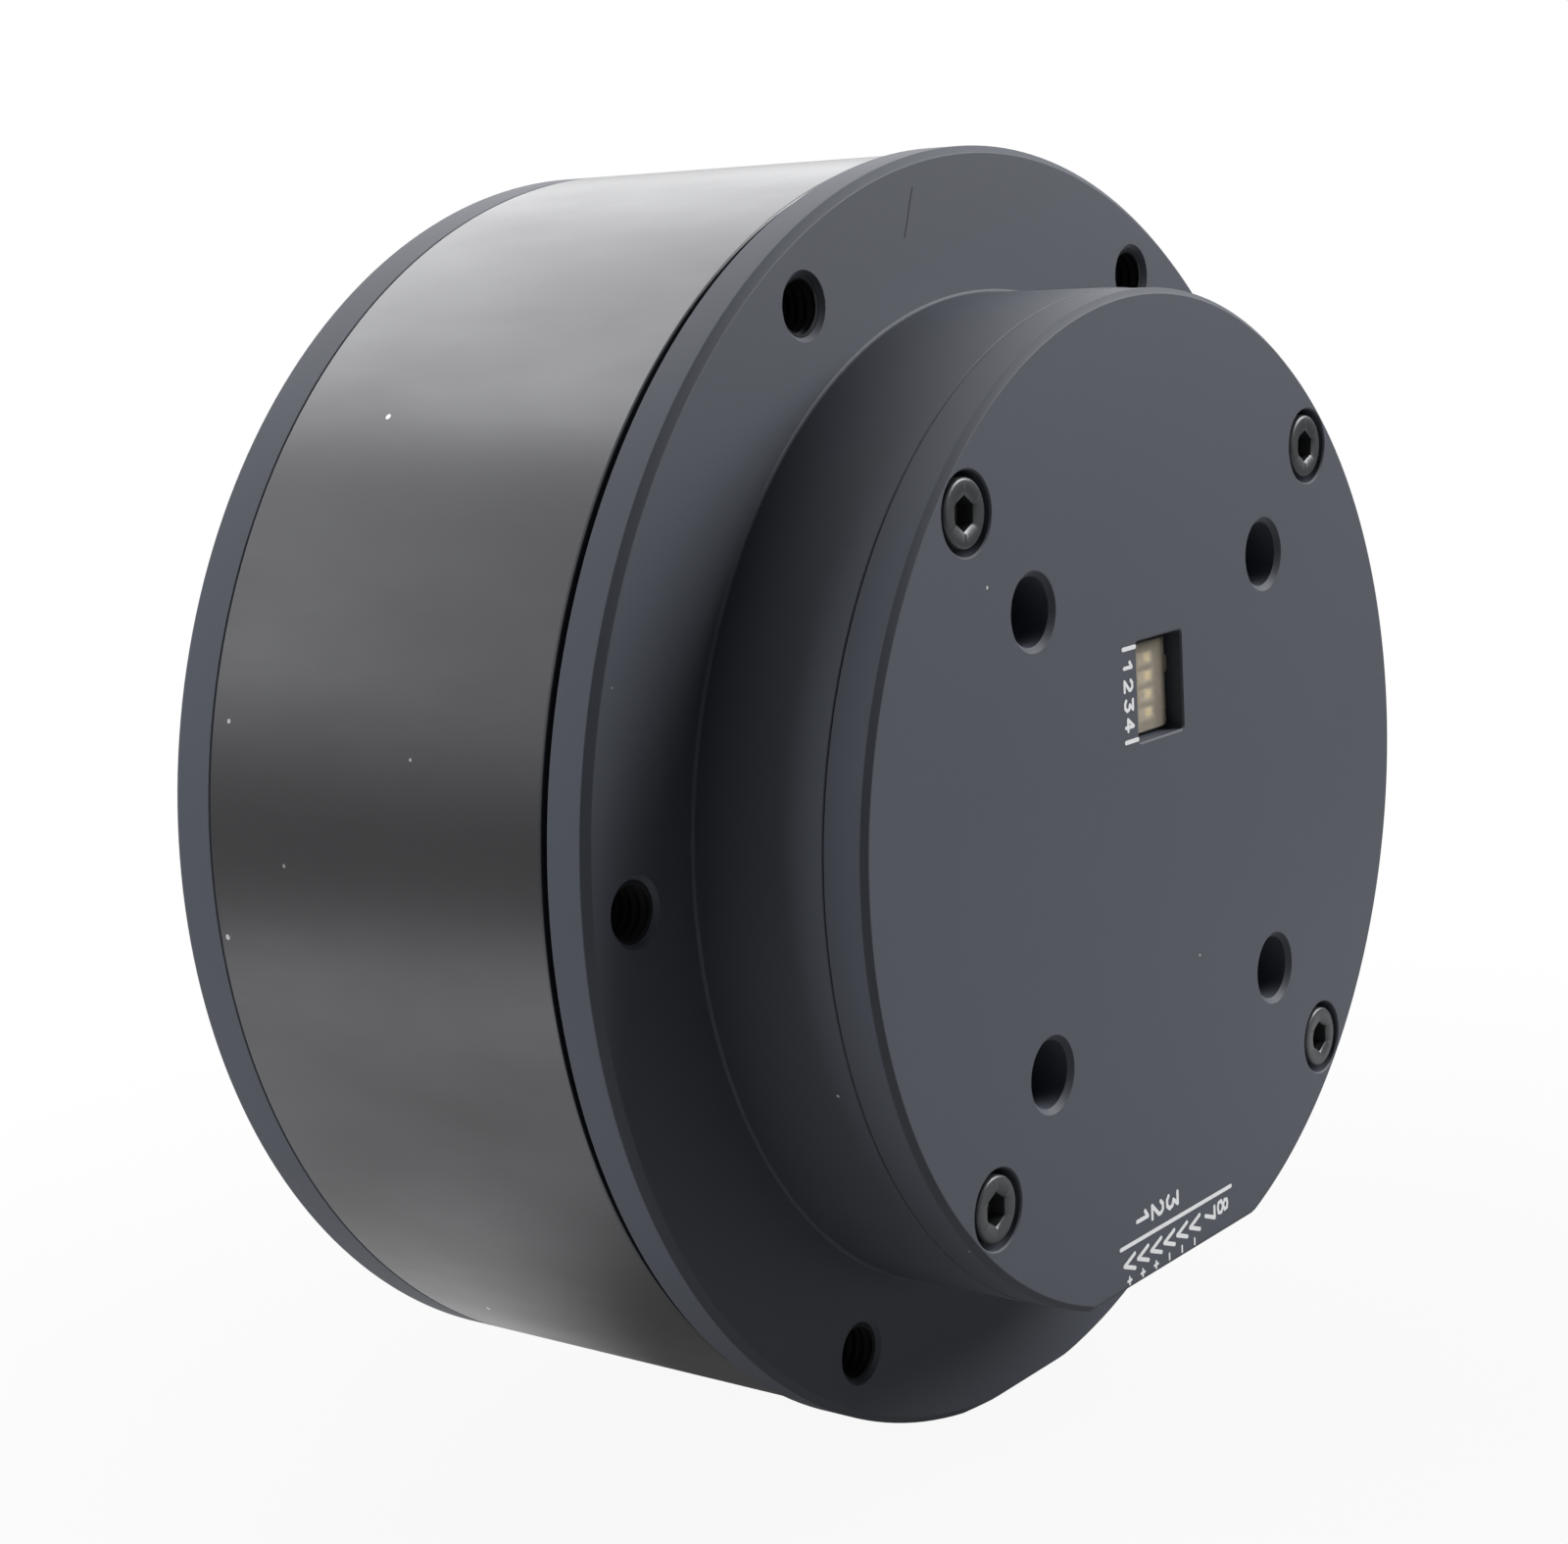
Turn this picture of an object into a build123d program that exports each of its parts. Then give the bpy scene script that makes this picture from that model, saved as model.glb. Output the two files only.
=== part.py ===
from build123d import *
from math import pi
import os

os.makedirs("parts", exist_ok=True)

# Pancake outer-rotor joint actuator, in millimetres.
# The shaft lies along Y: the rear cover faces -Y and the output plate faces +Y.
# The origin is on the shaft's axis, in the plane of the flange face that has the six bolt holes.
# The flat for the connectors faces -Z. Radii start at the shaft's axis.

# Mounting flange and its bolt circle
rim_overhang = 0.3
flange_thickness = 3.2
flange_chamfer = 0.5
rim_chamfer = 0.15
flange_flat_depth = 0.75
flange_hole_inset = 4.35
flange_hole_count = 6
mount_thread_radius = 2.0
mount_thread_mouth = 2.26

# Boss for the electronics
boss_ledge = 10.0
boss_wall = 2.8
floor_thickness = 2.6
flat_depth = 2.0
flat_wall = 1.8

# Rear cover
cover_thickness = 3.1
cover_inset = 0.1
cover_chamfer = 0.4
spigot_height = 1.0
spigot_width = 1.2
spigot_clearance = 0.15

# Cover screws and their lugs
cover_screw_inset = 3.4
cover_screw_count = 4
lug_radius = 3.3
lug_clearance = 0.4
cover_screw_thread = 1.25
cover_screw_thread_depth = 6.5
cover_screw_hole = 1.4
cover_screw_bore = 2.7
cover_screw_bore_depth = 2.4
cover_screw_head = 2.25
cover_screw_head_height = 2.3
cover_screw_length = 6.0
cover_screw_socket = 2.0
cover_screw_socket_depth = 1.3
cover_screw_turn = 21.0
thread_clearance = 0.05

# Rear mounting holes and the threaded pillars under them
rear_hole_circle = 21.6
rear_hole_count = 4
rear_hole_radius = 2.3
rear_hole_mouth = 2.62
pillar_radius = 3.4
pillar_thread_depth = 9.0

# Stator carrier inside the drum
seat_ring_wall = 2.8
seat_ring_lead = 0.8
seat_shoulder = 1.6
seat_shoulder_height = 3.4
bearing_tube_wall = 3.0
tube_shoulder = 2.5
tube_end_lip = 0.3
rib_count = 6
rib_span = 2.2
rib_thickness = 2.2
rib_height = 13.0
rib_overlap = 0.3

# Stator
stack_length = 22.0
slot_count = 36
core_back = 4.4
slot_depth = 7.6
tooth_width = 2.8
tooth_tip = 1.1
slot_mouth = 1.4
coil_floor_gap = 0.2
coil_mouth_gap = 0.3
coil_liner = 0.15
coil_side = 1.0
coil_end_clearance = 0.2
coil_end_height = 2.2
coil_corner = 1.0
insulator_inset = 0.1
insulator_height = 2.2
insulator_clearance = 0.2

# Rotor
air_gap = 0.6
running_gap = 0.7
yoke_wall = 3.3
drum_edge = 0.15
cap_thickness = 3.7
cap_chamfer = 0.55
cap_spigot_height = 1.6
cap_spigot_wall = 2.8
cap_hub_radius = 22.0
cap_hub_height = 2.8
magnet_count = 40
magnet_thickness = 2.8
magnet_overhang = 2.0
magnet_inset = 0.9
magnet_end_gap = 0.8
magnet_gap = 0.5
seat_clearance = 0.02

# Output interface
pilot_radius = 13.0
pilot_depth = 1.5
output_hole_circle = 18.0
output_hole_count = 6
output_thread_depth = 4.8

# Shaft
shaft_shoulder = 2.0
shaft_flange_thickness = 2.9
journal_radius = 10.0
shaft_tail_radius = 7.0
shaft_nose_radius = 5.0
shaft_nose_height = 1.5
shaft_screw_circle = 7.0
shaft_screw_count = 4
shaft_screw_thread = 1.5
shaft_screw_hole = 1.7
shaft_screw_head = 2.75
shaft_screw_head_height = 2.0
shaft_screw_length = 9.0
shaft_screw_socket = 2.5
shaft_screw_socket_depth = 1.2
shaft_screw_recess = 3.0
shaft_screw_recess_depth = 2.2

# Crossed-roller bearing between the shaft and the tube
bearing_outside = 18.0
bearing_width = 8.0
roller_radius = 1.5
roller_length = 2.8
roller_count = 14
roller_clearance = 0.1
spacer_size = 1.9
spacer_length = 2.0
race_gap = 0.8
circlip_thickness = 1.0
circlip_width = 2.1
circlip_groove_depth = 0.6
circlip_side_clearance = 0.05
circlip_arc = 320.0
retainer_thickness = 1.0
retainer_width = 2.6

# Encoder magnet on the shaft's tail and its sensor
magnet_holder_radius = 4.4
magnet_holder_length = 3.4
magnet_holder_stem_radius = 2.0
magnet_holder_stem_length = 3.5
encoder_magnet_radius = 3.0
encoder_magnet_length = 2.5
encoder_magnet_seat = 1.3
encoder_gap = 1.0
sensor_width = 5.0
sensor_depth = 4.0
chip_height = 1.0

# Driver board
board_clearance = 0.8
board_thickness = 1.6
board_flat_clearance = 0.3
board_lug_clearance = 0.5
board_pillar_clearance = 0.3
board_post_inset = 4.4
board_post_radius = 2.3
board_screw_thread = 0.85
board_screw_thread_depth = 4.5
board_screw_hole = 1.1
board_screw_head = 1.8
board_screw_head_height = 1.3
board_screw_length = 5.5
board_screw_socket = 1.3
board_screw_socket_depth = 0.7

# Power stage
pedestal_inset = 0.1
mosfet_radial = 6.0
mosfet_width = 5.0
mosfet_pitch = 7.0
pad_thickness = 0.5
pad_radial = 7.4
pad_width = 13.6
pedestal_margin = 0.3
capacitor_radius = 3.1
capacitor_height = 5.2
capacitor_foot = 6.6
capacitor_foot_height = 0.9
capacitor_pitch = 7.6
capacitor_inset = 13.5
capacitor_step = 2.0
microcontroller_size = 7.0
microcontroller_place = (-11.0, -4.0)
gate_driver_size = 6.0
gate_driver_place = (9.5, -8.0)

# Phase leads
lead_radius = 0.75
lead_inset = 1.2
lead_slot_half = 1.2
lead_first_angle = 62.0
lead_angle_step = 8.0
lead_count = 3

# Address switch and its window in the cover
window_width = 6.0
window_height = 6.9
window_corner = 0.3
window_centre = (0.2, 8.08)
switch_width = 5.4
switch_height = 6.5
switch_side_offset = 0.05
switch_recess = 1.2
switch_edge = 0.12
slider_count = 4
slider_pitch = 1.27
slider_width = 0.9
slider_height = 0.7
slider_depth = 1.5
slider_recess = 0.1
slider_travel = 0.9
slider_clearance = 0.1
slider_edge = 0.08
tape_thickness = 0.08
tape_margin = 0.2
tape_tab_width = 0.3
tape_tab_height = 1.3
tape_tab_rise = 1.2

# Connectors in the flat
pin_pitch = 2.0
pin_width = 0.6
pin_length = 6.0
pin_setback = 0.7
power_pin_count = 8
power_connector_height = 4.4
power_floor_gap = 0.6
signal_pin_count = 3
signal_pin_centre = -3.0
signal_connector_height = 3.0
signal_cover_gap = 0.4
connector_depth = 6.0
connector_wall = 0.7
connector_end_margin = 1.4
connector_cavity_depth = 4.6
connector_setback = 0.1
connector_clearance = 0.15
key_width = 1.0

# Places along the shaft's axis that follow from the sizes above
board_depth = power_floor_gap + power_connector_height
boss_height = board_depth + board_thickness + signal_connector_height + signal_cover_gap
rim_front = flange_thickness
floor_rear = flange_thickness - floor_thickness
seam = -boss_height
cover_face = seam - cover_thickness
board_front = -board_depth
board_rear = board_front - board_thickness
pad_rear = board_front + chip_height
pad_front = pad_rear + pad_thickness
switch_top = cover_face + switch_recess
stack_rear = rim_front + seat_shoulder_height
stack_front = stack_rear + stack_length
stack_middle = (stack_rear + stack_front) / 2
seat_ring_front = stack_front + seat_ring_lead
magnet_length = stack_length + 2 * magnet_overhang
drum_length = magnet_inset + magnet_length + magnet_end_gap + cap_spigot_height
drum_rear = rim_front + running_gap
drum_front = drum_rear + drum_length
output_face = drum_front + cap_thickness
pilot_floor = output_face - pilot_depth
shaft_front = drum_front - cap_hub_height
shaft_flange_rear = shaft_front - shaft_flange_thickness
bearing_front_face = shaft_flange_rear
bearing_rear_face = bearing_front_face - bearing_width
bearing_middle = (bearing_rear_face + bearing_front_face) / 2
retainer_front = bearing_front_face + circlip_side_clearance + retainer_thickness
tube_front = retainer_front + circlip_side_clearance + tube_end_lip
groove_front = bearing_rear_face - circlip_side_clearance
groove_rear = groove_front - circlip_thickness - 2 * circlip_side_clearance
sensor_face = board_front + chip_height
encoder_seat = sensor_face + encoder_gap + encoder_magnet_length
holder_rear = encoder_seat - encoder_magnet_seat
shaft_rear = holder_rear + magnet_holder_length

# Radii that follow from the sizes above, from the bearing outwards
shaft_flange_radius = journal_radius + shaft_shoulder
tube_bore_radius = bearing_outside - tube_shoulder
bearing_tube_radius = bearing_outside + bearing_tube_wall
seat_ring_radius = bearing_tube_radius + rib_span + seat_ring_wall
slot_floor_radius = seat_ring_radius + core_back
stator_radius = slot_floor_radius + slot_depth
slot_top_radius = stator_radius - tooth_tip
coil_inner_radius = slot_floor_radius + coil_floor_gap
coil_depth = slot_top_radius - coil_inner_radius - coil_mouth_gap
insulator_radius = slot_floor_radius - insulator_inset
lead_circle = slot_floor_radius - lead_inset
magnet_bore = stator_radius + air_gap
yoke_bore = magnet_bore + magnet_thickness
drum_radius = yoke_bore + yoke_wall
flange_radius = drum_radius + rim_overhang
flange_hole_circle = flange_radius - flange_hole_inset
boss_radius = flange_radius - boss_ledge
boss_bore = boss_radius - boss_wall
cover_radius = boss_radius - cover_inset
cover_screw_circle = boss_radius - cover_screw_inset
board_radius = boss_bore - board_clearance
board_post_circle = board_radius - board_post_inset

# Places across the axis that follow from the sizes above
flat_distance = boss_radius - flat_depth
inner_flat = flat_distance - flat_wall
capacitor_row = flat_distance - capacitor_inset
mosfet_circle = tube_bore_radius + pedestal_inset + (pad_radial + pedestal_margin) / 2
switch_centre = (window_centre[0] + switch_side_offset, window_centre[1] - switch_side_offset)
slot_inside_length = slider_width + slider_travel + 2 * slider_clearance
slider_rest = switch_centre[0] + slider_travel / 2
board_post_angles = [0, 90, 180]
mosfet_angles = [0, 90, 180]


# A plane across the shaft that faces the rear cover's side, with X to the right and Z up.
def facing_rear(place):
    return Plane.XZ.offset(-place)


# A plane across the shaft that faces the output side, with Z up.
def facing_front(place):
    return Plane(origin=(0, place, 0), x_dir=(-1, 0, 0), z_dir=(0, 1, 0))


# The half section of a ring in the open sketch, X being the radius and Y the place along the shaft.
def band(inside, outside, rear, front, mode=Mode.ADD):
    with Locations(((inside + outside) / 2, (rear + front) / 2)):
        Rectangle(outside - inside, front - rear, mode=mode)


# The strip beyond a flat at the given distance below the axis, in a sketch that faces the rear.
def beyond_flat(distance, mode=Mode.SUBTRACT):
    with Locations((0, -distance - flange_radius / 2)):
        Rectangle(2 * flange_radius, flange_radius, mode=mode)


# Socket head cap screws at the given places. The plane holds the heads' seats and faces out of them.
def cap_screws(plane, places, head, head_height, shank, length, socket, socket_depth, turn):
    with BuildPart() as screws:
        with BuildSketch(plane):
            with places:
                Circle(head)
        extrude(amount=head_height)
        with BuildSketch(plane.offset(head_height)):
            with places:
                RegularPolygon(socket / 2, 6, major_radius=False, rotation=turn)
        extrude(amount=-socket_depth, mode=Mode.SUBTRACT)
        with BuildSketch(plane):
            with places:
                Circle(shank)
        extrude(amount=-length)
    return screws


# Base: flange, boss, bearing tube and stator seat turned from one piece
with BuildPart() as mounting_base:
    with BuildSketch(Plane.XY):
        band(boss_bore, flange_radius, 0, rim_front)
        band(tube_bore_radius, boss_bore, floor_rear, rim_front)
        band(boss_bore, boss_radius, seam, 0)
        band(tube_bore_radius, bearing_tube_radius, floor_rear, tube_front)
        band(seat_ring_radius - seat_ring_wall, seat_ring_radius, rim_front, seat_ring_front)
        band(seat_ring_radius, seat_ring_radius + seat_shoulder, rim_front, stack_rear)
        band(0, bearing_outside, bearing_rear_face, tube_front, mode=Mode.SUBTRACT)
        retainer_groove = bearing_outside + circlip_groove_depth
        band(0, retainer_groove, bearing_front_face, tube_front - tube_end_lip, mode=Mode.SUBTRACT)
    revolve(axis=Axis.Y)
    circles = mounting_base.edges().filter_by(GeomType.CIRCLE)
    outer_rim = circles.sort_by(SortBy.RADIUS)[-2:].sort_by(Axis.Y)
    chamfer(outer_rim[0], flange_chamfer)
    circles = mounting_base.edges().filter_by(GeomType.CIRCLE)
    chamfer(circles.sort_by(SortBy.RADIUS)[-2:].sort_by(Axis.Y)[-1], rim_chamfer)
    with BuildSketch(facing_rear(rim_front)):
        beyond_flat(flange_radius - flange_flat_depth, mode=Mode.ADD)
    extrude(amount=flange_thickness, mode=Mode.SUBTRACT)

    # Ribs between the bearing tube and the stator seat
    with BuildSketch(facing_front(rim_front)):
        rib_inside = bearing_tube_radius - rib_overlap
        rib_outside = seat_ring_radius - seat_ring_wall + rib_overlap
        with PolarLocations((rib_inside + rib_outside) / 2, rib_count):
            Rectangle(rib_outside - rib_inside, rib_thickness)
    extrude(amount=rib_height)

    # Wall behind the flat, lugs for the cover screws and pillars under the rear mounting holes
    with BuildSketch(facing_rear(floor_rear)):
        Circle(boss_bore + boss_wall / 2)
        with Locations((0, flange_radius - inner_flat)):
            Rectangle(2 * flange_radius, 2 * flange_radius, mode=Mode.SUBTRACT)
    extrude(amount=floor_rear - seam)
    with BuildSketch(facing_rear(floor_rear)):
        with PolarLocations(cover_screw_circle, cover_screw_count, 45):
            Circle(lug_radius)
        Circle(boss_radius - boss_wall / 2, mode=Mode.INTERSECT)
    extrude(amount=floor_rear - seam)
    with BuildSketch(facing_rear(floor_rear)):
        with PolarLocations(rear_hole_circle, rear_hole_count, 45):
            Circle(pillar_radius)
    extrude(amount=floor_rear - seam)

    # Posts that carry the driver board, and pedestals that take the power stage's heat
    with BuildSketch(facing_rear(floor_rear)):
        for angle in board_post_angles:
            with PolarLocations(board_post_circle, 1, angle):
                Circle(board_post_radius)
    extrude(amount=floor_rear - board_front)
    with BuildSketch(facing_rear(floor_rear)):
        for angle in mosfet_angles:
            with PolarLocations(mosfet_circle, 1, angle):
                Rectangle(pad_radial + pedestal_margin, pad_width + pedestal_margin)
    extrude(amount=floor_rear - pad_front)

    # Flat for the connectors, with a slot for the power header and a notch for the signal header
    with BuildSketch(facing_rear(0)):
        beyond_flat(flat_distance, mode=Mode.ADD)
    extrude(amount=boss_height, mode=Mode.SUBTRACT)
    with BuildSketch(Plane.XY.offset(-flat_distance)):
        power_width = (power_pin_count - 1) * pin_pitch + 2 * connector_end_margin
        signal_width = (signal_pin_count - 1) * pin_pitch + 2 * connector_end_margin
        with Locations((0, board_front + power_connector_height / 2)):
            Rectangle(power_width + 2 * connector_clearance, power_connector_height + 2 * connector_clearance)
        notch_front = board_rear + connector_clearance
        with Locations((signal_pin_centre, (seam + notch_front) / 2)):
            Rectangle(signal_width + 2 * connector_clearance, notch_front - seam)
    extrude(amount=connector_depth, mode=Mode.SUBTRACT)

    # Six threaded holes in the flange, with chamfered mouths
    with Locations(facing_rear(0)):
        with PolarLocations(flange_hole_circle, flange_hole_count):
            CounterSinkHole(mount_thread_radius, mount_thread_mouth, depth=flange_thickness)

    # Threads for the cover screws, the rear mounting bolts and the board screws
    with Locations(facing_rear(seam)):
        with PolarLocations(cover_screw_circle, cover_screw_count, 45):
            Hole(cover_screw_thread, depth=cover_screw_thread_depth)
        with PolarLocations(rear_hole_circle, rear_hole_count, 45):
            Hole(mount_thread_radius, depth=pillar_thread_depth)
    with Locations(facing_rear(board_front)):
        for angle in board_post_angles:
            with PolarLocations(board_post_circle, 1, angle):
                Hole(board_screw_thread, depth=board_screw_thread_depth)

    # Slot for the phase leads
    with BuildSketch(facing_rear(floor_rear)):
        lead_middle_angle = lead_first_angle + lead_angle_step * (lead_count - 1) / 2
        lead_span = 2 * pi * lead_circle * lead_angle_step * (lead_count - 1) / 360
        with PolarLocations(lead_circle, 1, lead_middle_angle):
            Rectangle(2 * lead_slot_half, lead_span + 2 * lead_slot_half)
    extrude(amount=-floor_thickness, mode=Mode.SUBTRACT)
mounting_base.part.label = "mounting_base"
export_step(mounting_base.part, "parts/mounting_base.step")

# Rear cover with its screw recesses, mounting holes and switch window
with BuildPart() as rear_cover:
    with BuildSketch(facing_rear(seam)):
        Circle(cover_radius)
        beyond_flat(flat_distance)
    extrude(amount=cover_thickness)
    chamfer(rear_cover.edges().group_by(Axis.Y)[0], cover_chamfer)

    # Locating spigot, cut away round the lugs and behind the connectors
    with BuildSketch(facing_rear(seam)):
        Circle(boss_bore - spigot_clearance)
        Circle(boss_bore - spigot_clearance - spigot_width, mode=Mode.SUBTRACT)
        with PolarLocations(cover_screw_circle, cover_screw_count, 45):
            Circle(lug_radius + lug_clearance, mode=Mode.SUBTRACT)
        beyond_flat(inner_flat - connector_depth, mode=Mode.SUBTRACT)
    extrude(amount=-spigot_height)
    with Locations(facing_rear(cover_face)):
        with PolarLocations(cover_screw_circle, cover_screw_count, 45):
            CounterBoreHole(cover_screw_hole, cover_screw_bore, cover_screw_bore_depth, depth=cover_thickness)
        with PolarLocations(rear_hole_circle, rear_hole_count, 45):
            CounterSinkHole(rear_hole_radius, rear_hole_mouth, depth=cover_thickness)
    with BuildSketch(facing_rear(seam)):
        with Locations(window_centre):
            RectangleRounded(window_width, window_height, window_corner)
    extrude(amount=cover_thickness, mode=Mode.SUBTRACT)
rear_cover.part.label = "rear_cover"
export_step(rear_cover.part, "parts/rear_cover.step")

# Socket head cap screws that hold the cover
cover_screws = cap_screws(
    facing_rear(cover_face + cover_screw_bore_depth),
    PolarLocations(cover_screw_circle, cover_screw_count, 45),
    cover_screw_head,
    cover_screw_head_height,
    cover_screw_thread - thread_clearance,
    cover_screw_length,
    cover_screw_socket,
    cover_screw_socket_depth,
    cover_screw_turn,
)
cover_screws.part.label = "cover_screws"
export_step(cover_screws.part, "parts/cover_screws.step")

# Driver board, notched round the lugs and cut back behind the flat
with BuildPart() as driver_board:
    with BuildSketch(facing_rear(board_front)):
        Circle(board_radius)
        beyond_flat(inner_flat - board_flat_clearance)
        with PolarLocations(cover_screw_circle, cover_screw_count, 45):
            Circle(lug_radius + board_lug_clearance, mode=Mode.SUBTRACT)
        with PolarLocations(rear_hole_circle, rear_hole_count, 45):
            Circle(pillar_radius + board_pillar_clearance, mode=Mode.SUBTRACT)
        for angle in board_post_angles:
            with PolarLocations(board_post_circle, 1, angle):
                Circle(board_screw_hole, mode=Mode.SUBTRACT)
    extrude(amount=board_thickness)
driver_board.part.label = "driver_board"
export_step(driver_board.part, "parts/driver_board.step")

# Screws that hold the board on its posts
post_places = Locations(
    *[
        Location(Vector(board_post_circle, 0).rotate(Axis.Z, angle))
        for angle in board_post_angles
    ]
)
board_screws = cap_screws(
    facing_rear(board_rear),
    post_places,
    board_screw_head,
    board_screw_head_height,
    board_screw_thread - thread_clearance,
    board_screw_length,
    board_screw_socket,
    board_screw_socket_depth,
    0,
)
board_screws.part.label = "board_screws"
export_step(board_screws.part, "parts/board_screws.step")

# Power transistors in pairs on the board's front side, each pair pressed to a pedestal through a pad
with BuildPart() as mosfets:
    with BuildSketch(facing_front(board_front)):
        for angle in mosfet_angles:
            with PolarLocations(0, 1, angle):
                with Locations((mosfet_circle, -mosfet_pitch / 2), (mosfet_circle, mosfet_pitch / 2)):
                    Rectangle(mosfet_radial, mosfet_width)
    extrude(amount=chip_height)
mosfets.part.label = "mosfets"
export_step(mosfets.part, "parts/mosfets.step")

with BuildPart() as thermal_pads:
    with BuildSketch(facing_front(pad_rear)):
        for angle in mosfet_angles:
            with PolarLocations(mosfet_circle, 1, angle):
                Rectangle(pad_radial, pad_width)
    extrude(amount=pad_thickness)
thermal_pads.part.label = "thermal_pads"
export_step(thermal_pads.part, "parts/thermal_pads.step")

# Supply capacitors beside the power header
with BuildPart() as bulk_capacitors:
    capacitor_places = [
        (-capacitor_pitch, -capacitor_row),
        (0, -capacitor_row - capacitor_step),
        (capacitor_pitch, -capacitor_row),
    ]
    with BuildSketch(facing_front(board_front)):
        with Locations(*capacitor_places):
            Rectangle(capacitor_foot, capacitor_foot)
    extrude(amount=capacitor_foot_height)
    with BuildSketch(facing_front(board_front)):
        with Locations(*capacitor_places):
            Circle(capacitor_radius)
    extrude(amount=capacitor_height)
bulk_capacitors.part.label = "bulk_capacitors"
export_step(bulk_capacitors.part, "parts/bulk_capacitors.step")

# Chips: two on the board's rear side and the shaft-angle sensor on its front, facing the magnet
with BuildPart() as microcontroller:
    with BuildSketch(facing_rear(board_rear)):
        with Locations(microcontroller_place):
            Rectangle(microcontroller_size, microcontroller_size)
    extrude(amount=chip_height)
microcontroller.part.label = "microcontroller"
export_step(microcontroller.part, "parts/microcontroller.step")

with BuildPart() as gate_driver:
    with BuildSketch(facing_rear(board_rear)):
        with Locations(gate_driver_place):
            Rectangle(gate_driver_size, gate_driver_size)
    extrude(amount=chip_height)
gate_driver.part.label = "gate_driver"
export_step(gate_driver.part, "parts/gate_driver.step")

with BuildPart() as position_sensor:
    with BuildSketch(facing_front(board_front)):
        Rectangle(sensor_width, sensor_depth)
    extrude(amount=chip_height)
position_sensor.part.label = "position_sensor"
export_step(position_sensor.part, "parts/position_sensor.step")

# Four-way address switch: body, sliders, and the film that seals it
with BuildPart() as dip_switch_body:
    with BuildSketch(facing_rear(board_rear)):
        with Locations(switch_centre):
            Rectangle(switch_width, switch_height)
    extrude(amount=board_rear - switch_top)
    chamfer(dip_switch_body.edges().group_by(Axis.Y)[0], switch_edge)
    with BuildSketch(facing_rear(switch_top)):
        with Locations(switch_centre):
            with GridLocations(0, slider_pitch, 1, slider_count):
                Rectangle(slot_inside_length, slider_height + 2 * slider_clearance)
    extrude(amount=-(slider_recess + slider_depth + slider_clearance), mode=Mode.SUBTRACT)
dip_switch_body.part.label = "dip_switch_body"
export_step(dip_switch_body.part, "parts/dip_switch_body.step")

for number in range(slider_count):
    slider_row = switch_centre[1] + slider_pitch * ((slider_count - 1) / 2 - number)
    with BuildPart() as dip_slider:
        with BuildSketch(facing_rear(switch_top + slider_recess)):
            with Locations((slider_rest, slider_row)):
                Rectangle(slider_width, slider_height)
        extrude(amount=-slider_depth)
        chamfer(dip_slider.edges().group_by(Axis.Y)[0], slider_edge)
    dip_slider.part.label = f"dip_slider_{number + 1}"
    export_step(dip_slider.part, f"parts/dip_slider_{number + 1}.step")

with BuildPart() as dip_seal_tape:
    with BuildSketch(facing_rear(switch_top)):
        with Locations(switch_centre):
            Rectangle(switch_width - 2 * tape_margin, switch_height - 2 * tape_margin)
        tab_middle = switch_centre[0] + switch_width / 2 - tape_margin
        with Locations((tab_middle, switch_centre[1] + tape_tab_rise)):
            Rectangle(2 * tape_tab_width, tape_tab_height)
    extrude(amount=tape_thickness)
dip_seal_tape.part.label = "dip_seal_tape"
export_step(dip_seal_tape.part, "parts/dip_seal_tape.step")


# A side-entry header at the flat: a shroud open towards -Z with a key slot in its wall, and its pins.
# The rear and front give its two sides along the shaft, and the board's side carries the key slot.
def header(pin_count, centre, rear, front):
    width = (pin_count - 1) * pin_pitch + 2 * connector_end_margin
    mouth = -flat_distance + connector_setback
    middle = (rear + front) / 2
    with BuildPart() as pins:
        with BuildSketch(Plane.XY.offset(mouth + pin_setback)):
            with Locations((centre, middle)):
                with GridLocations(pin_pitch, 0, pin_count, 1):
                    Rectangle(pin_width, pin_width)
        extrude(amount=pin_length)
    with BuildPart() as shroud:
        with BuildSketch(Plane.XY.offset(mouth)):
            with Locations((centre, middle)):
                Rectangle(width, front - rear)
        extrude(amount=connector_depth)
        with BuildSketch(Plane.XY.offset(mouth)):
            with Locations((centre, middle)):
                Rectangle(width - 2 * connector_wall, front - rear - 2 * connector_wall)
            with Locations((centre, front)):
                with GridLocations((pin_count - 1) * pin_pitch, 0, 2, 1):
                    Rectangle(key_width, 3 * connector_wall)
        extrude(amount=connector_cavity_depth, mode=Mode.SUBTRACT)
        add(pins.part, mode=Mode.SUBTRACT)
    return shroud, pins


power_connector, power_pins = header(
    power_pin_count, 0, board_front, board_front + power_connector_height
)
power_connector.part.label = "power_connector"
export_step(power_connector.part, "parts/power_connector.step")
power_pins.part.label = "power_pins"
export_step(power_pins.part, "parts/power_pins.step")

signal_connector, signal_pins = header(
    signal_pin_count, signal_pin_centre, board_rear - signal_connector_height, board_rear
)
signal_connector.part.label = "signal_connector"
export_step(signal_connector.part, "parts/signal_connector.step")
signal_pins.part.label = "signal_pins"
export_step(signal_pins.part, "parts/signal_pins.step")

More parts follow.
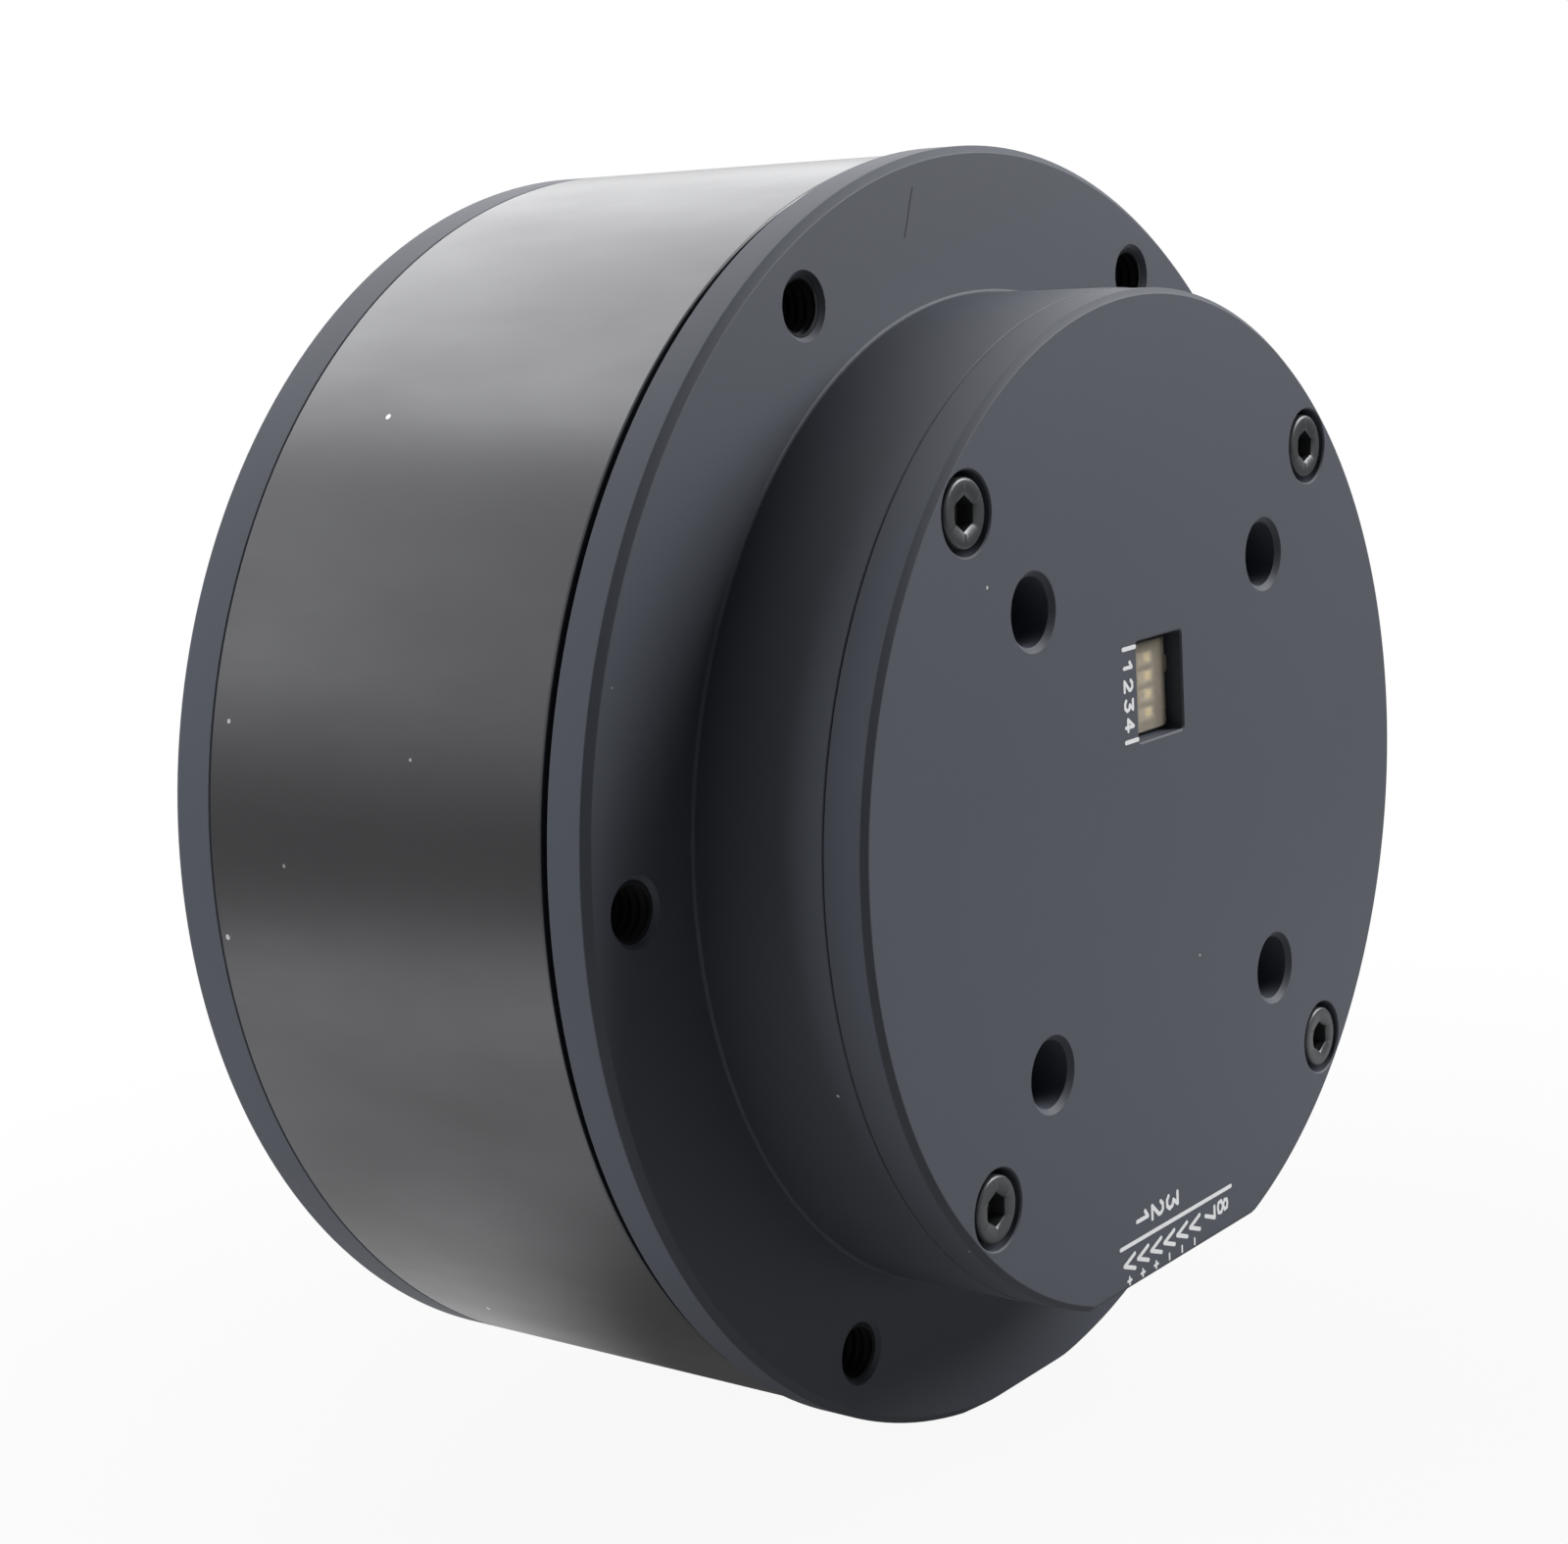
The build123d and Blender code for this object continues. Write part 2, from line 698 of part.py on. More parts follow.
# Slotted stator stack
with BuildPart() as stator_core:
    with BuildSketch(facing_front(stack_rear)):
        Circle(stator_radius)
        Circle(seat_ring_radius + seat_clearance, mode=Mode.SUBTRACT)
        slot_floor_half = pi * slot_floor_radius / slot_count - tooth_width / 2
        slot_top_half = pi * slot_top_radius / slot_count - tooth_width / 2
        with PolarLocations(0, slot_count, 180 / slot_count):
            Polygon(
                (slot_floor_radius, -slot_floor_half),
                (slot_top_radius, -slot_top_half),
                (slot_top_radius, slot_top_half),
                (slot_floor_radius, slot_floor_half),
                align=None,
                mode=Mode.SUBTRACT,
            )
            with Locations((stator_radius, 0)):
                Rectangle(4 * tooth_tip, slot_mouth, mode=Mode.SUBTRACT)
    extrude(amount=stack_length)
stator_core.part.label = "stator_core"
export_step(stator_core.part, "parts/stator_core.step")

# One coil on each tooth: a flat racetrack that stands on the tooth, copied round the stack
with BuildPart() as coil:
    with BuildSketch(Plane.YZ.offset(coil_inner_radius)):
        inside_width = tooth_width + 2 * coil_liner
        inside_length = stack_length + 2 * coil_end_clearance
        outline = Rectangle(inside_width + 2 * coil_side, inside_length + 2 * coil_end_height)
        chamfer(outline.vertices(), coil_corner)
        Rectangle(inside_width, inside_length, mode=Mode.SUBTRACT)
    extrude(amount=coil_depth)
with BuildPart() as stator_windings:
    with Locations(facing_front(stack_middle)):
        with PolarLocations(0, slot_count):
            add(coil.part)
stator_windings.part.label = "stator_windings"
export_step(stator_windings.part, "parts/stator_windings.step")

# Insulating end rings that keep the coils' end turns off the carrier
with BuildPart() as rear_insulator:
    with BuildSketch(Plane.XY):
        shoulder_radius = seat_ring_radius + seat_shoulder
        band(shoulder_radius + insulator_clearance, insulator_radius, stack_rear - insulator_height, stack_rear)
    revolve(axis=Axis.Y)
rear_insulator.part.label = "rear_insulator"
export_step(rear_insulator.part, "parts/rear_insulator.step")

with BuildPart() as front_insulator:
    with BuildSketch(Plane.XY):
        seat_radius = seat_ring_radius + insulator_clearance
        band(seat_radius, insulator_radius, stack_front, stack_front + insulator_height)
    revolve(axis=Axis.Y)
front_insulator.part.label = "front_insulator"
export_step(front_insulator.part, "parts/front_insulator.step")

# Phase leads from the windings through the floor to the board
with BuildPart() as phase_leads:
    with BuildSketch(facing_front(board_front)):
        with PolarLocations(lead_circle, lead_count, 180 - lead_first_angle, -lead_angle_step * lead_count):
            Circle(lead_radius)
    extrude(amount=stack_rear - insulator_height - board_front)
phase_leads.part.label = "phase_leads"
export_step(phase_leads.part, "parts/phase_leads.step")

# Crossed-roller bearing: rings with square grooves, rollers crossed by turns, and spacers between them
race_radius = (journal_radius + bearing_outside) / 2
race_half = roller_radius + roller_clearance
with BuildPart() as bearing_outer_ring:
    with BuildSketch(Plane.XY):
        band(race_radius + race_gap / 2, bearing_outside - seat_clearance, bearing_rear_face, bearing_front_face)
        with Locations((race_radius, bearing_middle)):
            Rectangle(2 * race_half, 2 * race_half, rotation=45, mode=Mode.SUBTRACT)
    revolve(axis=Axis.Y)
bearing_outer_ring.part.label = "bearing_outer_ring"
export_step(bearing_outer_ring.part, "parts/bearing_outer_ring.step")

with BuildPart() as bearing_inner_ring:
    with BuildSketch(Plane.XY):
        band(journal_radius + seat_clearance, race_radius - race_gap / 2, bearing_rear_face, bearing_front_face)
        with Locations((race_radius, bearing_middle)):
            Rectangle(2 * race_half, 2 * race_half, rotation=45, mode=Mode.SUBTRACT)
    revolve(axis=Axis.Y)
bearing_inner_ring.part.label = "bearing_inner_ring"
export_step(bearing_inner_ring.part, "parts/bearing_inner_ring.step")

with BuildPart() as bearing_rollers:
    for number in range(roller_count):
        tilt = 45 if number % 2 else -45
        with Locations(facing_front(bearing_middle)):
            with PolarLocations(race_radius, 1, 360 * number / roller_count):
                Cylinder(roller_radius, roller_length, rotation=(0, tilt, 0))
bearing_rollers.part.label = "bearing_rollers"
export_step(bearing_rollers.part, "parts/bearing_rollers.step")

with BuildPart() as bearing_spacers:
    with Locations(facing_front(bearing_middle)):
        with PolarLocations(race_radius, roller_count, 180 / roller_count):
            Box(spacer_size, spacer_length, spacer_size, rotation=(0, 45, 0))
bearing_spacers.part.label = "bearing_spacers"
export_step(bearing_spacers.part, "parts/bearing_spacers.step")

# Retainer that holds the bearing in the tube
with BuildPart() as bearing_retainer:
    with BuildSketch(Plane.XY):
        retainer_radius = retainer_groove - seat_clearance
        retainer_rear = bearing_front_face + circlip_side_clearance
        band(retainer_radius - retainer_width, retainer_radius, retainer_rear, retainer_front)
    revolve(axis=Axis.Y, revolution_arc=circlip_arc)
bearing_retainer.part.label = "bearing_retainer"
export_step(bearing_retainer.part, "parts/bearing_retainer.step")

# Shaft
with BuildPart() as rotor_shaft:
    with BuildSketch(Plane.XY):
        band(0, shaft_tail_radius, shaft_rear, groove_rear)
        band(0, journal_radius, groove_rear - circlip_thickness, shaft_flange_rear)
        band(0, shaft_flange_radius, shaft_flange_rear, shaft_front)
        band(0, shaft_nose_radius, shaft_front, shaft_front + shaft_nose_height)
        groove_radius = journal_radius - circlip_groove_depth
        band(groove_radius, journal_radius, groove_rear, groove_front, mode=Mode.SUBTRACT)
        stem_bore = magnet_holder_stem_radius + seat_clearance
        band(0, stem_bore, shaft_rear, shaft_rear + magnet_holder_stem_length, mode=Mode.SUBTRACT)
    revolve(axis=Axis.Y)
    with Locations(facing_front(shaft_front)):
        with PolarLocations(shaft_screw_circle, shaft_screw_count, 45):
            Hole(shaft_screw_thread, depth=shaft_screw_length)
rotor_shaft.part.label = "rotor_shaft"
export_step(rotor_shaft.part, "parts/rotor_shaft.step")

# Retaining ring in the shaft's groove
with BuildPart() as shaft_retaining_ring:
    with BuildSketch(Plane.XY):
        ring_radius = groove_radius + seat_clearance
        ring_rear = groove_rear + circlip_side_clearance
        band(ring_radius, ring_radius + circlip_width, ring_rear, ring_rear + circlip_thickness)
    revolve(axis=Axis.Y, revolution_arc=circlip_arc)
shaft_retaining_ring.part.label = "shaft_retaining_ring"
export_step(shaft_retaining_ring.part, "parts/shaft_retaining_ring.step")

# Encoder magnet in its holder, pressed into the shaft's tail
with BuildPart() as magnet_holder:
    with BuildSketch(Plane.XY):
        band(0, magnet_holder_radius, holder_rear, shaft_rear)
        band(0, magnet_holder_stem_radius, shaft_rear, shaft_rear + magnet_holder_stem_length)
        band(
            0,
            encoder_magnet_radius + seat_clearance,
            holder_rear,
            encoder_seat,
            mode=Mode.SUBTRACT,
        )
    revolve(axis=Axis.Y)
magnet_holder.part.label = "magnet_holder"
export_step(magnet_holder.part, "parts/magnet_holder.step")

with BuildPart() as encoder_magnet:
    with BuildSketch(facing_rear(encoder_seat)):
        Circle(encoder_magnet_radius)
    extrude(amount=encoder_magnet_length)
encoder_magnet.part.label = "encoder_magnet"
export_step(encoder_magnet.part, "parts/encoder_magnet.step")

# Output plate that closes the drum and bolts to the shaft
with BuildPart() as rotor_cap:
    with BuildSketch(Plane.XY):
        band(0, drum_radius, drum_front, output_face)
        spigot_radius = yoke_bore - seat_clearance
        band(spigot_radius - cap_spigot_wall, spigot_radius, drum_front - cap_spigot_height, drum_front)
        band(0, cap_hub_radius, shaft_front, drum_front)
        band(0, pilot_radius, pilot_floor, output_face, mode=Mode.SUBTRACT)
        nose_bore_depth = shaft_nose_height + seat_clearance
        band(
            0,
            shaft_nose_radius + seat_clearance,
            shaft_front,
            shaft_front + nose_bore_depth,
            mode=Mode.SUBTRACT,
        )
    revolve(axis=Axis.Y)
    face_circles = rotor_cap.edges().filter_by(GeomType.CIRCLE).group_by(Axis.Y)[-1]
    chamfer(face_circles.sort_by(SortBy.RADIUS)[-1], cap_chamfer)
    with Locations(facing_front(output_face)):
        with PolarLocations(output_hole_circle, output_hole_count):
            CounterSinkHole(mount_thread_radius, mount_thread_mouth, depth=output_thread_depth)
    with Locations(facing_front(pilot_floor)):
        with PolarLocations(shaft_screw_circle, shaft_screw_count, 45):
            CounterBoreHole(
                shaft_screw_hole,
                shaft_screw_recess,
                shaft_screw_recess_depth,
                depth=pilot_floor - shaft_front,
            )
rotor_cap.part.label = "rotor_cap"
export_step(rotor_cap.part, "parts/rotor_cap.step")

# Screws through the output plate into the shaft
shaft_screws = cap_screws(
    facing_front(pilot_floor - shaft_screw_recess_depth),
    PolarLocations(shaft_screw_circle, shaft_screw_count, 45),
    shaft_screw_head,
    shaft_screw_head_height,
    shaft_screw_thread - thread_clearance,
    shaft_screw_length,
    shaft_screw_socket,
    shaft_screw_socket_depth,
    0,
)
shaft_screws.part.label = "shaft_screws"
export_step(shaft_screws.part, "parts/shaft_screws.step")

# Steel drum that carries the flux
with BuildPart() as rotor_yoke:
    with BuildSketch(Plane.XY):
        band(yoke_bore, drum_radius, drum_rear, drum_front)
    revolve(axis=Axis.Y)
    outer_edges = rotor_yoke.edges().filter_by(GeomType.CIRCLE).sort_by(SortBy.RADIUS)[-2:]
    chamfer(outer_edges, drum_edge)
rotor_yoke.part.label = "rotor_yoke"
export_step(rotor_yoke.part, "parts/rotor_yoke.step")

# Magnets bonded inside the drum
with BuildPart() as rotor_magnets:
    with BuildSketch(facing_front(drum_rear + magnet_inset)):
        Circle(yoke_bore)
        Circle(magnet_bore, mode=Mode.SUBTRACT)
        with PolarLocations(yoke_bore, magnet_count):
            Rectangle(4 * magnet_thickness, magnet_gap, mode=Mode.SUBTRACT)
    extrude(amount=magnet_length)
rotor_magnets.part.label = "rotor_magnets"
export_step(rotor_magnets.part, "parts/rotor_magnets.step")
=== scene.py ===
import math
import random

import bmesh
import bpy
from mathutils import Euler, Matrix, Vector


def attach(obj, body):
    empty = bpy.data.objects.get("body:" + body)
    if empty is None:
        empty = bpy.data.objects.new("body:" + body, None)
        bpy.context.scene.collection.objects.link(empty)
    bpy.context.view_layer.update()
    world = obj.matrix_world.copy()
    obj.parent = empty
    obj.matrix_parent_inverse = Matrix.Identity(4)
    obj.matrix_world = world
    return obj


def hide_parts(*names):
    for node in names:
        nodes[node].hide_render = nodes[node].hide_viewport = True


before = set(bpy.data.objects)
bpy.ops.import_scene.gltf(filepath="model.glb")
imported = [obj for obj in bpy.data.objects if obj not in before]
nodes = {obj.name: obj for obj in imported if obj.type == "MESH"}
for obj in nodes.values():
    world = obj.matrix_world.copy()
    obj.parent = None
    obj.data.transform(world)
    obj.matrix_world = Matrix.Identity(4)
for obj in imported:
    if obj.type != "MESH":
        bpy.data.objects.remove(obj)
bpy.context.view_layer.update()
mm = 0.001
print("frame loaded:", len(nodes), "nodes")

ringCount = 240  # points of a ring round the shaft
flatCount = 26  # the lowest of them, which lie on its flat where it has one
flatHalfAngle = math.degrees(math.acos(33.0 / 35.0))  # half the angle that the boss's flat takes up
smoothUpTo = 32.0  # an edge that turns by more degrees than this stays sharp
nodeSmoothUpTo = 30.0  # the same for the nodes that are carried over
past = 1.0  # how far a cutting tool runs on past a face
softShare = 0.6  # where the middle rings of a softened edge lie, as a share of its softness
fineCount = 64  # points of a ring round a hole that is seen closely
lugCount = 32
smallCount = 24
tinyCount = 16


# A ring round the shaft in millimetres. With a flat, its lowest part runs straight
# at that distance below the axis.
def shaftRing(radius, y, flat=None):
    half = math.degrees(math.acos(flat / radius)) if flat else flatHalfAngle
    arcCount = ringCount - flatCount
    points = []
    for i in range(arcCount):
        a = math.radians(-90 + half + (360 - 2 * half) * i / arcCount)
        points.append((radius * math.cos(a), y, radius * math.sin(a)))
    for i in range(flatCount):
        if flat:
            edge = radius * math.sin(math.radians(half))
            points.append((-edge + 2 * edge * i / flatCount, y, -flat))
        else:
            a = math.radians(-90 - half + 2 * half * i / flatCount)
            points.append((radius * math.cos(a), y, radius * math.sin(a)))
    return points


def holeRing(radius, y, centre=(0, 0), count=48, turn=0.0):
    return [
        (
            centre[0] + radius * math.cos(math.radians(turn) + 2 * math.pi * i / count),
            y,
            centre[1] + radius * math.sin(math.radians(turn) + 2 * math.pi * i / count),
        )
        for i in range(count)
    ]


# A hexagon's outline with the same number of points as a round ring, so that the two can be joined.
def hexRing(acrossFlats, y, centre, turn=0.0, count=48):
    points = []
    for i in range(count):
        a = 2 * math.pi * i / count
        off = (a + math.pi / 6) % (math.pi / 3) - math.pi / 6
        r = acrossFlats / 2 / math.cos(math.pi / 6 - abs(off))
        a += math.radians(turn)
        points.append((centre[0] + r * math.cos(a), y, centre[1] + r * math.sin(a)))
    return points


def rectRing(width, height, corner, y, centre=(0, 0), steps=5):
    points = []
    for sx, sz, start in ((1, 1, 0), (-1, 1, 90), (-1, -1, 180), (1, -1, 270)):
        for i in range(steps + 1):
            a = math.radians(start + 90 * i / steps)
            points.append((
                centre[0] + sx * (width / 2 - corner) + corner * math.cos(a),
                y,
                centre[1] + sz * (height / 2 - corner) + corner * math.sin(a),
            ))
    return points


# One mesh of several shells. A shell is a list of rings of equal length, with both ends closed by a face,
# or closed on itself where loop is true.
def makePiece(name, shells, smoothAngle=smoothUpTo):
    vertices = []
    faces = []
    for rings, loop in shells:
        first = len(vertices)
        count = len(rings[0])
        for ring in rings:
            vertices.extend((x * mm, y * mm, z * mm) for x, y, z in ring)
        last = len(rings) if loop else len(rings) - 1
        for j in range(last):
            a = first + j * count
            b = first + (j + 1) % len(rings) * count
            for i in range(count):
                k = (i + 1) % count
                faces.append((a + i, a + k, b + k, b + i))
        if not loop:
            faces.append(tuple(range(first, first + count)))
            faces.append(tuple(range(first + (len(rings) - 1) * count, first + len(rings) * count)))
    return meshPiece(name, vertices, faces, smoothAngle)


def meshPiece(name, vertices, faces, smoothAngle):
    mesh = bpy.data.meshes.new(name)
    mesh.from_pydata(vertices, [], faces)
    work = bmesh.new()
    work.from_mesh(mesh)
    bmesh.ops.recalc_face_normals(work, faces=work.faces)
    work.to_mesh(mesh)
    work.free()
    shadeByAngle(mesh, smoothAngle)
    piece = bpy.data.objects.new(name, mesh)
    bpy.context.scene.collection.objects.link(piece)
    return piece


def shadeByAngle(mesh, smoothAngle):
    mesh.polygons.foreach_set("use_smooth", [True] * len(mesh.polygons))
    mesh.set_sharp_from_angle(angle=math.radians(smoothAngle))
    mesh.update()


# Adds or takes away the shape of another piece, which is then gone.
def combine(piece, other, operation):
    modifier = piece.modifiers.new("shape", "BOOLEAN")
    modifier.object = other
    modifier.operation = operation
    modifier.solver = "EXACT"
    bpy.context.view_layer.update()
    shaped = piece.evaluated_get(bpy.context.evaluated_depsgraph_get())
    mesh = bpy.data.meshes.new_from_object(shaped)
    piece.modifiers.clear()
    old = piece.data
    piece.data = mesh
    mesh.name = old.name
    bpy.data.meshes.remove(old)
    bpy.data.objects.remove(other)
    shadeByAngle(piece.data, smoothUpTo)


def polar(radius, count, start=0.0):
    return [
        (
            radius * math.cos(math.radians(start + 360 * i / count)),
            radius * math.sin(math.radians(start + 360 * i / count)),
        )
        for i in range(count)
    ]


# A plain round tool from one place to another along the shaft.
def roundTool(radius, start, end, centre, count=48):
    return ([holeRing(radius, start, centre, count), holeRing(radius, end, centre, count)], False)


# A tool for a hole with a chamfered mouth. The mouth lies at the face, and out is -1 towards the rear.
def mouthedTool(radius, mouth, face, depth, centre, out, count=48):
    chamfer = mouth - radius
    return (
        [
            holeRing(mouth + past, face + out * past, centre, count),
            holeRing(mouth, face, centre, count),
            holeRing(radius, face - out * chamfer, centre, count),
            holeRing(radius, face - out * depth, centre, count),
        ],
        False,
    )


# A block from one place to another along the shaft, turned by an angle about it.
def boxTool(width, height, start, end, centre, turn=0.0):
    c = math.cos(math.radians(turn))
    s = math.sin(math.radians(turn))
    rings = []
    for y in (start, end):
        ring = []
        for x, z in ((-width, -height), (width, -height), (width, height), (-width, height)):
            ring.append((centre[0] + (x * c - z * s) / 2, y, centre[1] + (x * s + z * c) / 2))
        rings.append(ring)
    return (rings, False)


def newGroup(name, inputs, outputs):
    group = bpy.data.node_groups.new(name, "ShaderNodeTree")
    for label, kind, value in inputs:
        socket = group.interface.new_socket(label, in_out="INPUT", socket_type=kind)
        socket.default_value = value
    for label, kind in outputs:
        group.interface.new_socket(label, in_out="OUTPUT", socket_type=kind)
    return group


# A node with its settings. A setting named in_ and a number is the value of that input.
def addNode(tree, kind, **settings):
    node = tree.nodes.new(kind)
    for key, value in settings.items():
        if key.startswith("in_"):
            node.inputs[int(key[3:])].default_value = value
        else:
            setattr(node, key, value)
    return node


def mathNode(tree, operation, first, second):
    node = addNode(tree, "ShaderNodeMath", operation=operation)
    for index, value in enumerate((first, second)):
        if isinstance(value, (int, float)):
            node.inputs[index].default_value = value
        else:
            tree.links.new(value, node.inputs[index])
    return node.outputs[0]


def rangeNode(tree, value, low, high, outLow, outHigh):
    node = addNode(tree, "ShaderNodeMapRange", clamp=True)
    tree.links.new(value, node.inputs[0])
    for index, amount in enumerate((low, high, outLow, outHigh)):
        node.inputs[index + 1].default_value = amount
    return node.outputs[0]


patterns = {"grainDetail": 2.0, "grainShare": 0.4, "cloudDetail": 4.0, "cloudShare": 0.6,
            "smearDetail": 5.0, "smearRoughness": 0.6, "smearLow": 0.35, "smearHigh": 0.7}


# Fine grain and slow variation of a surface. Colour and roughness wander a little about their given values.
def makeGrainGroup():
    group = newGroup(
        "surfaceGrain",
        [
            ("Colour", "NodeSocketColor", (0.5, 0.5, 0.5, 1)),
            ("Spread", "NodeSocketFloat", 0.1),
            ("Roughness", "NodeSocketFloat", 0.5),
            ("Roughness Spread", "NodeSocketFloat", 0.05),
            ("Grain Scale", "NodeSocketFloat", 4000.0),
            ("Cloud Scale", "NodeSocketFloat", 60.0),
        ],
        [("Colour", "NodeSocketColor"), ("Roughness", "NodeSocketFloat"), ("Height", "NodeSocketFloat")],
    )
    given = addNode(group, "NodeGroupInput")
    result = addNode(group, "NodeGroupOutput")
    place = addNode(group, "ShaderNodeTexCoord")
    grain = addNode(group, "ShaderNodeTexNoise", in_3=patterns["grainDetail"])
    cloud = addNode(group, "ShaderNodeTexNoise", in_3=patterns["cloudDetail"])
    group.links.new(place.outputs["Object"], grain.inputs["Vector"])
    group.links.new(place.outputs["Object"], cloud.inputs["Vector"])
    group.links.new(given.outputs["Grain Scale"], grain.inputs["Scale"])
    group.links.new(given.outputs["Cloud Scale"], cloud.inputs["Scale"])
    both = mathNode(group, "ADD", mathNode(group, "MULTIPLY", grain.outputs[0], patterns["grainShare"]),
                    mathNode(group, "MULTIPLY", cloud.outputs[0], patterns["cloudShare"]))
    swing = mathNode(group, "MULTIPLY", mathNode(group, "SUBTRACT", both, 0.5), 2.0)
    factor = mathNode(group, "ADD", mathNode(group, "MULTIPLY", swing, given.outputs["Spread"]), 1.0)
    tint = addNode(group, "ShaderNodeVectorMath", operation="SCALE")
    group.links.new(given.outputs["Colour"], tint.inputs[0])
    group.links.new(factor, tint.inputs["Scale"])
    group.links.new(tint.outputs[0], result.inputs["Colour"])
    rough = mathNode(group, "MULTIPLY", swing, given.outputs["Roughness Spread"])
    group.links.new(mathNode(group, "ADD", given.outputs["Roughness"], rough), result.inputs["Roughness"])
    group.links.new(grain.outputs[0], result.inputs["Height"])
    return group


# Sparse light specks of dust.
def makeDustGroup():
    group = newGroup(
        "dustSpecks",
        [
            ("Scale", "NodeSocketFloat", 160.0),
            ("Size", "NodeSocketFloat", 0.03),
            ("Share", "NodeSocketFloat", 0.02),
        ],
        [("Mask", "NodeSocketFloat")],
    )
    given = addNode(group, "NodeGroupInput")
    result = addNode(group, "NodeGroupOutput")
    place = addNode(group, "ShaderNodeTexCoord")
    cells = addNode(group, "ShaderNodeTexVoronoi")
    group.links.new(place.outputs["Object"], cells.inputs["Vector"])
    group.links.new(given.outputs["Scale"], cells.inputs["Scale"])
    near = mathNode(group, "LESS_THAN", cells.outputs["Distance"], given.outputs["Size"])
    parts = addNode(group, "ShaderNodeSeparateColor")
    group.links.new(cells.outputs["Color"], parts.inputs[0])
    chosen = mathNode(group, "LESS_THAN", parts.outputs[0], given.outputs["Share"])
    group.links.new(mathNode(group, "MULTIPLY", near, chosen), result.inputs["Mask"])
    return group


# Wide soft smears, longer along the shaft, as a mask from 0 to 1.
def makeSmearGroup():
    group = newGroup(
        "softSmears",
        [("Scale", "NodeSocketFloat", 30.0), ("Stretch", "NodeSocketFloat", 0.3)],
        [("Mask", "NodeSocketFloat")],
    )
    given = addNode(group, "NodeGroupInput")
    result = addNode(group, "NodeGroupOutput")
    place = addNode(group, "ShaderNodeTexCoord")
    squeeze = addNode(group, "ShaderNodeCombineXYZ", in_0=1.0, in_2=1.0)
    group.links.new(given.outputs["Stretch"], squeeze.inputs[1])
    scaled = addNode(group, "ShaderNodeVectorMath", operation="MULTIPLY")
    group.links.new(place.outputs["Object"], scaled.inputs[0])
    group.links.new(squeeze.outputs[0], scaled.inputs[1])
    cloud = addNode(group, "ShaderNodeTexNoise", in_3=patterns["smearDetail"],
                    in_4=patterns["smearRoughness"])
    group.links.new(scaled.outputs[0], cloud.inputs["Vector"])
    group.links.new(given.outputs["Scale"], cloud.inputs["Scale"])
    mask = rangeNode(group, cloud.outputs[0], patterns["smearLow"], patterns["smearHigh"], 0.0, 1.0)
    group.links.new(mask, result.inputs["Mask"])
    return group


grainGroup = makeGrainGroup()
dustGroup = makeDustGroup()
smearGroup = makeSmearGroup()
print("shader groups made")


def placeGroup(tree, group, **values):
    node = tree.nodes.new("ShaderNodeGroup")
    node.node_tree = group
    for key, value in values.items():
        node.inputs[key.replace("_", " ")].default_value = value
    return node


# A finish from the shared grain: base colour and roughness wander, and the grain stands up as a fine bump.
def newFinish(name, colour, roughness, metallic=0.0, spread=0.08, roughSpread=0.04,
              grainScale=4000.0, cloudScale=60.0, bump=0.05, bumpDistance=0.00002, **shader):
    material = bpy.data.materials.new(name)
    material.use_nodes = True
    tree = material.node_tree
    principled = tree.nodes["Principled BSDF"]
    principled.inputs["Metallic"].default_value = metallic
    for key, value in shader.items():
        principled.inputs[key.replace("_", " ")].default_value = value
    grain = placeGroup(tree, grainGroup, Colour=(*colour, 1), Spread=spread, Roughness=roughness,
                       Roughness_Spread=roughSpread, Grain_Scale=grainScale, Cloud_Scale=cloudScale)
    tree.links.new(grain.outputs["Colour"], principled.inputs["Base Color"])
    tree.links.new(grain.outputs["Roughness"], principled.inputs["Roughness"])
    raised = addNode(tree, "ShaderNodeBump")
    raised.inputs["Strength"].default_value = bump
    raised.inputs["Distance"].default_value = bumpDistance
    tree.links.new(grain.outputs["Height"], raised.inputs["Height"])
    tree.links.new(raised.outputs[0], principled.inputs["Normal"])
    material.diffuse_color = (*colour, 1)
    return material, tree, principled, grain


def addDust(tree, principled, colourFrom, scale, size, share, dustColour=(0.55, 0.55, 0.52, 1)):
    dust = placeGroup(tree, dustGroup, Scale=scale, Size=size, Share=share)
    mix = addNode(tree, "ShaderNodeMix", data_type="RGBA")
    tree.links.new(dust.outputs[0], mix.inputs[0])
    tree.links.new(colourFrom, mix.inputs[6])
    mix.inputs[7].default_value = dustColour
    tree.links.new(mix.outputs[2], principled.inputs["Base Color"])


anodised = {"colour": (0.078, 0.086, 0.106), "roughness": 0.56, "spread": 0.05, "grainScale": 5200.0,
            "bump": 0.22, "Specular_IOR_Level": 0.3}
anodisedDust = {"scale": 240.0, "size": 0.03, "share": 0.16}
blackAnodised, tree, shader, grain = newFinish("blackAnodised", **anodised)
addDust(tree, shader, grain.outputs["Colour"], **anodisedDust)

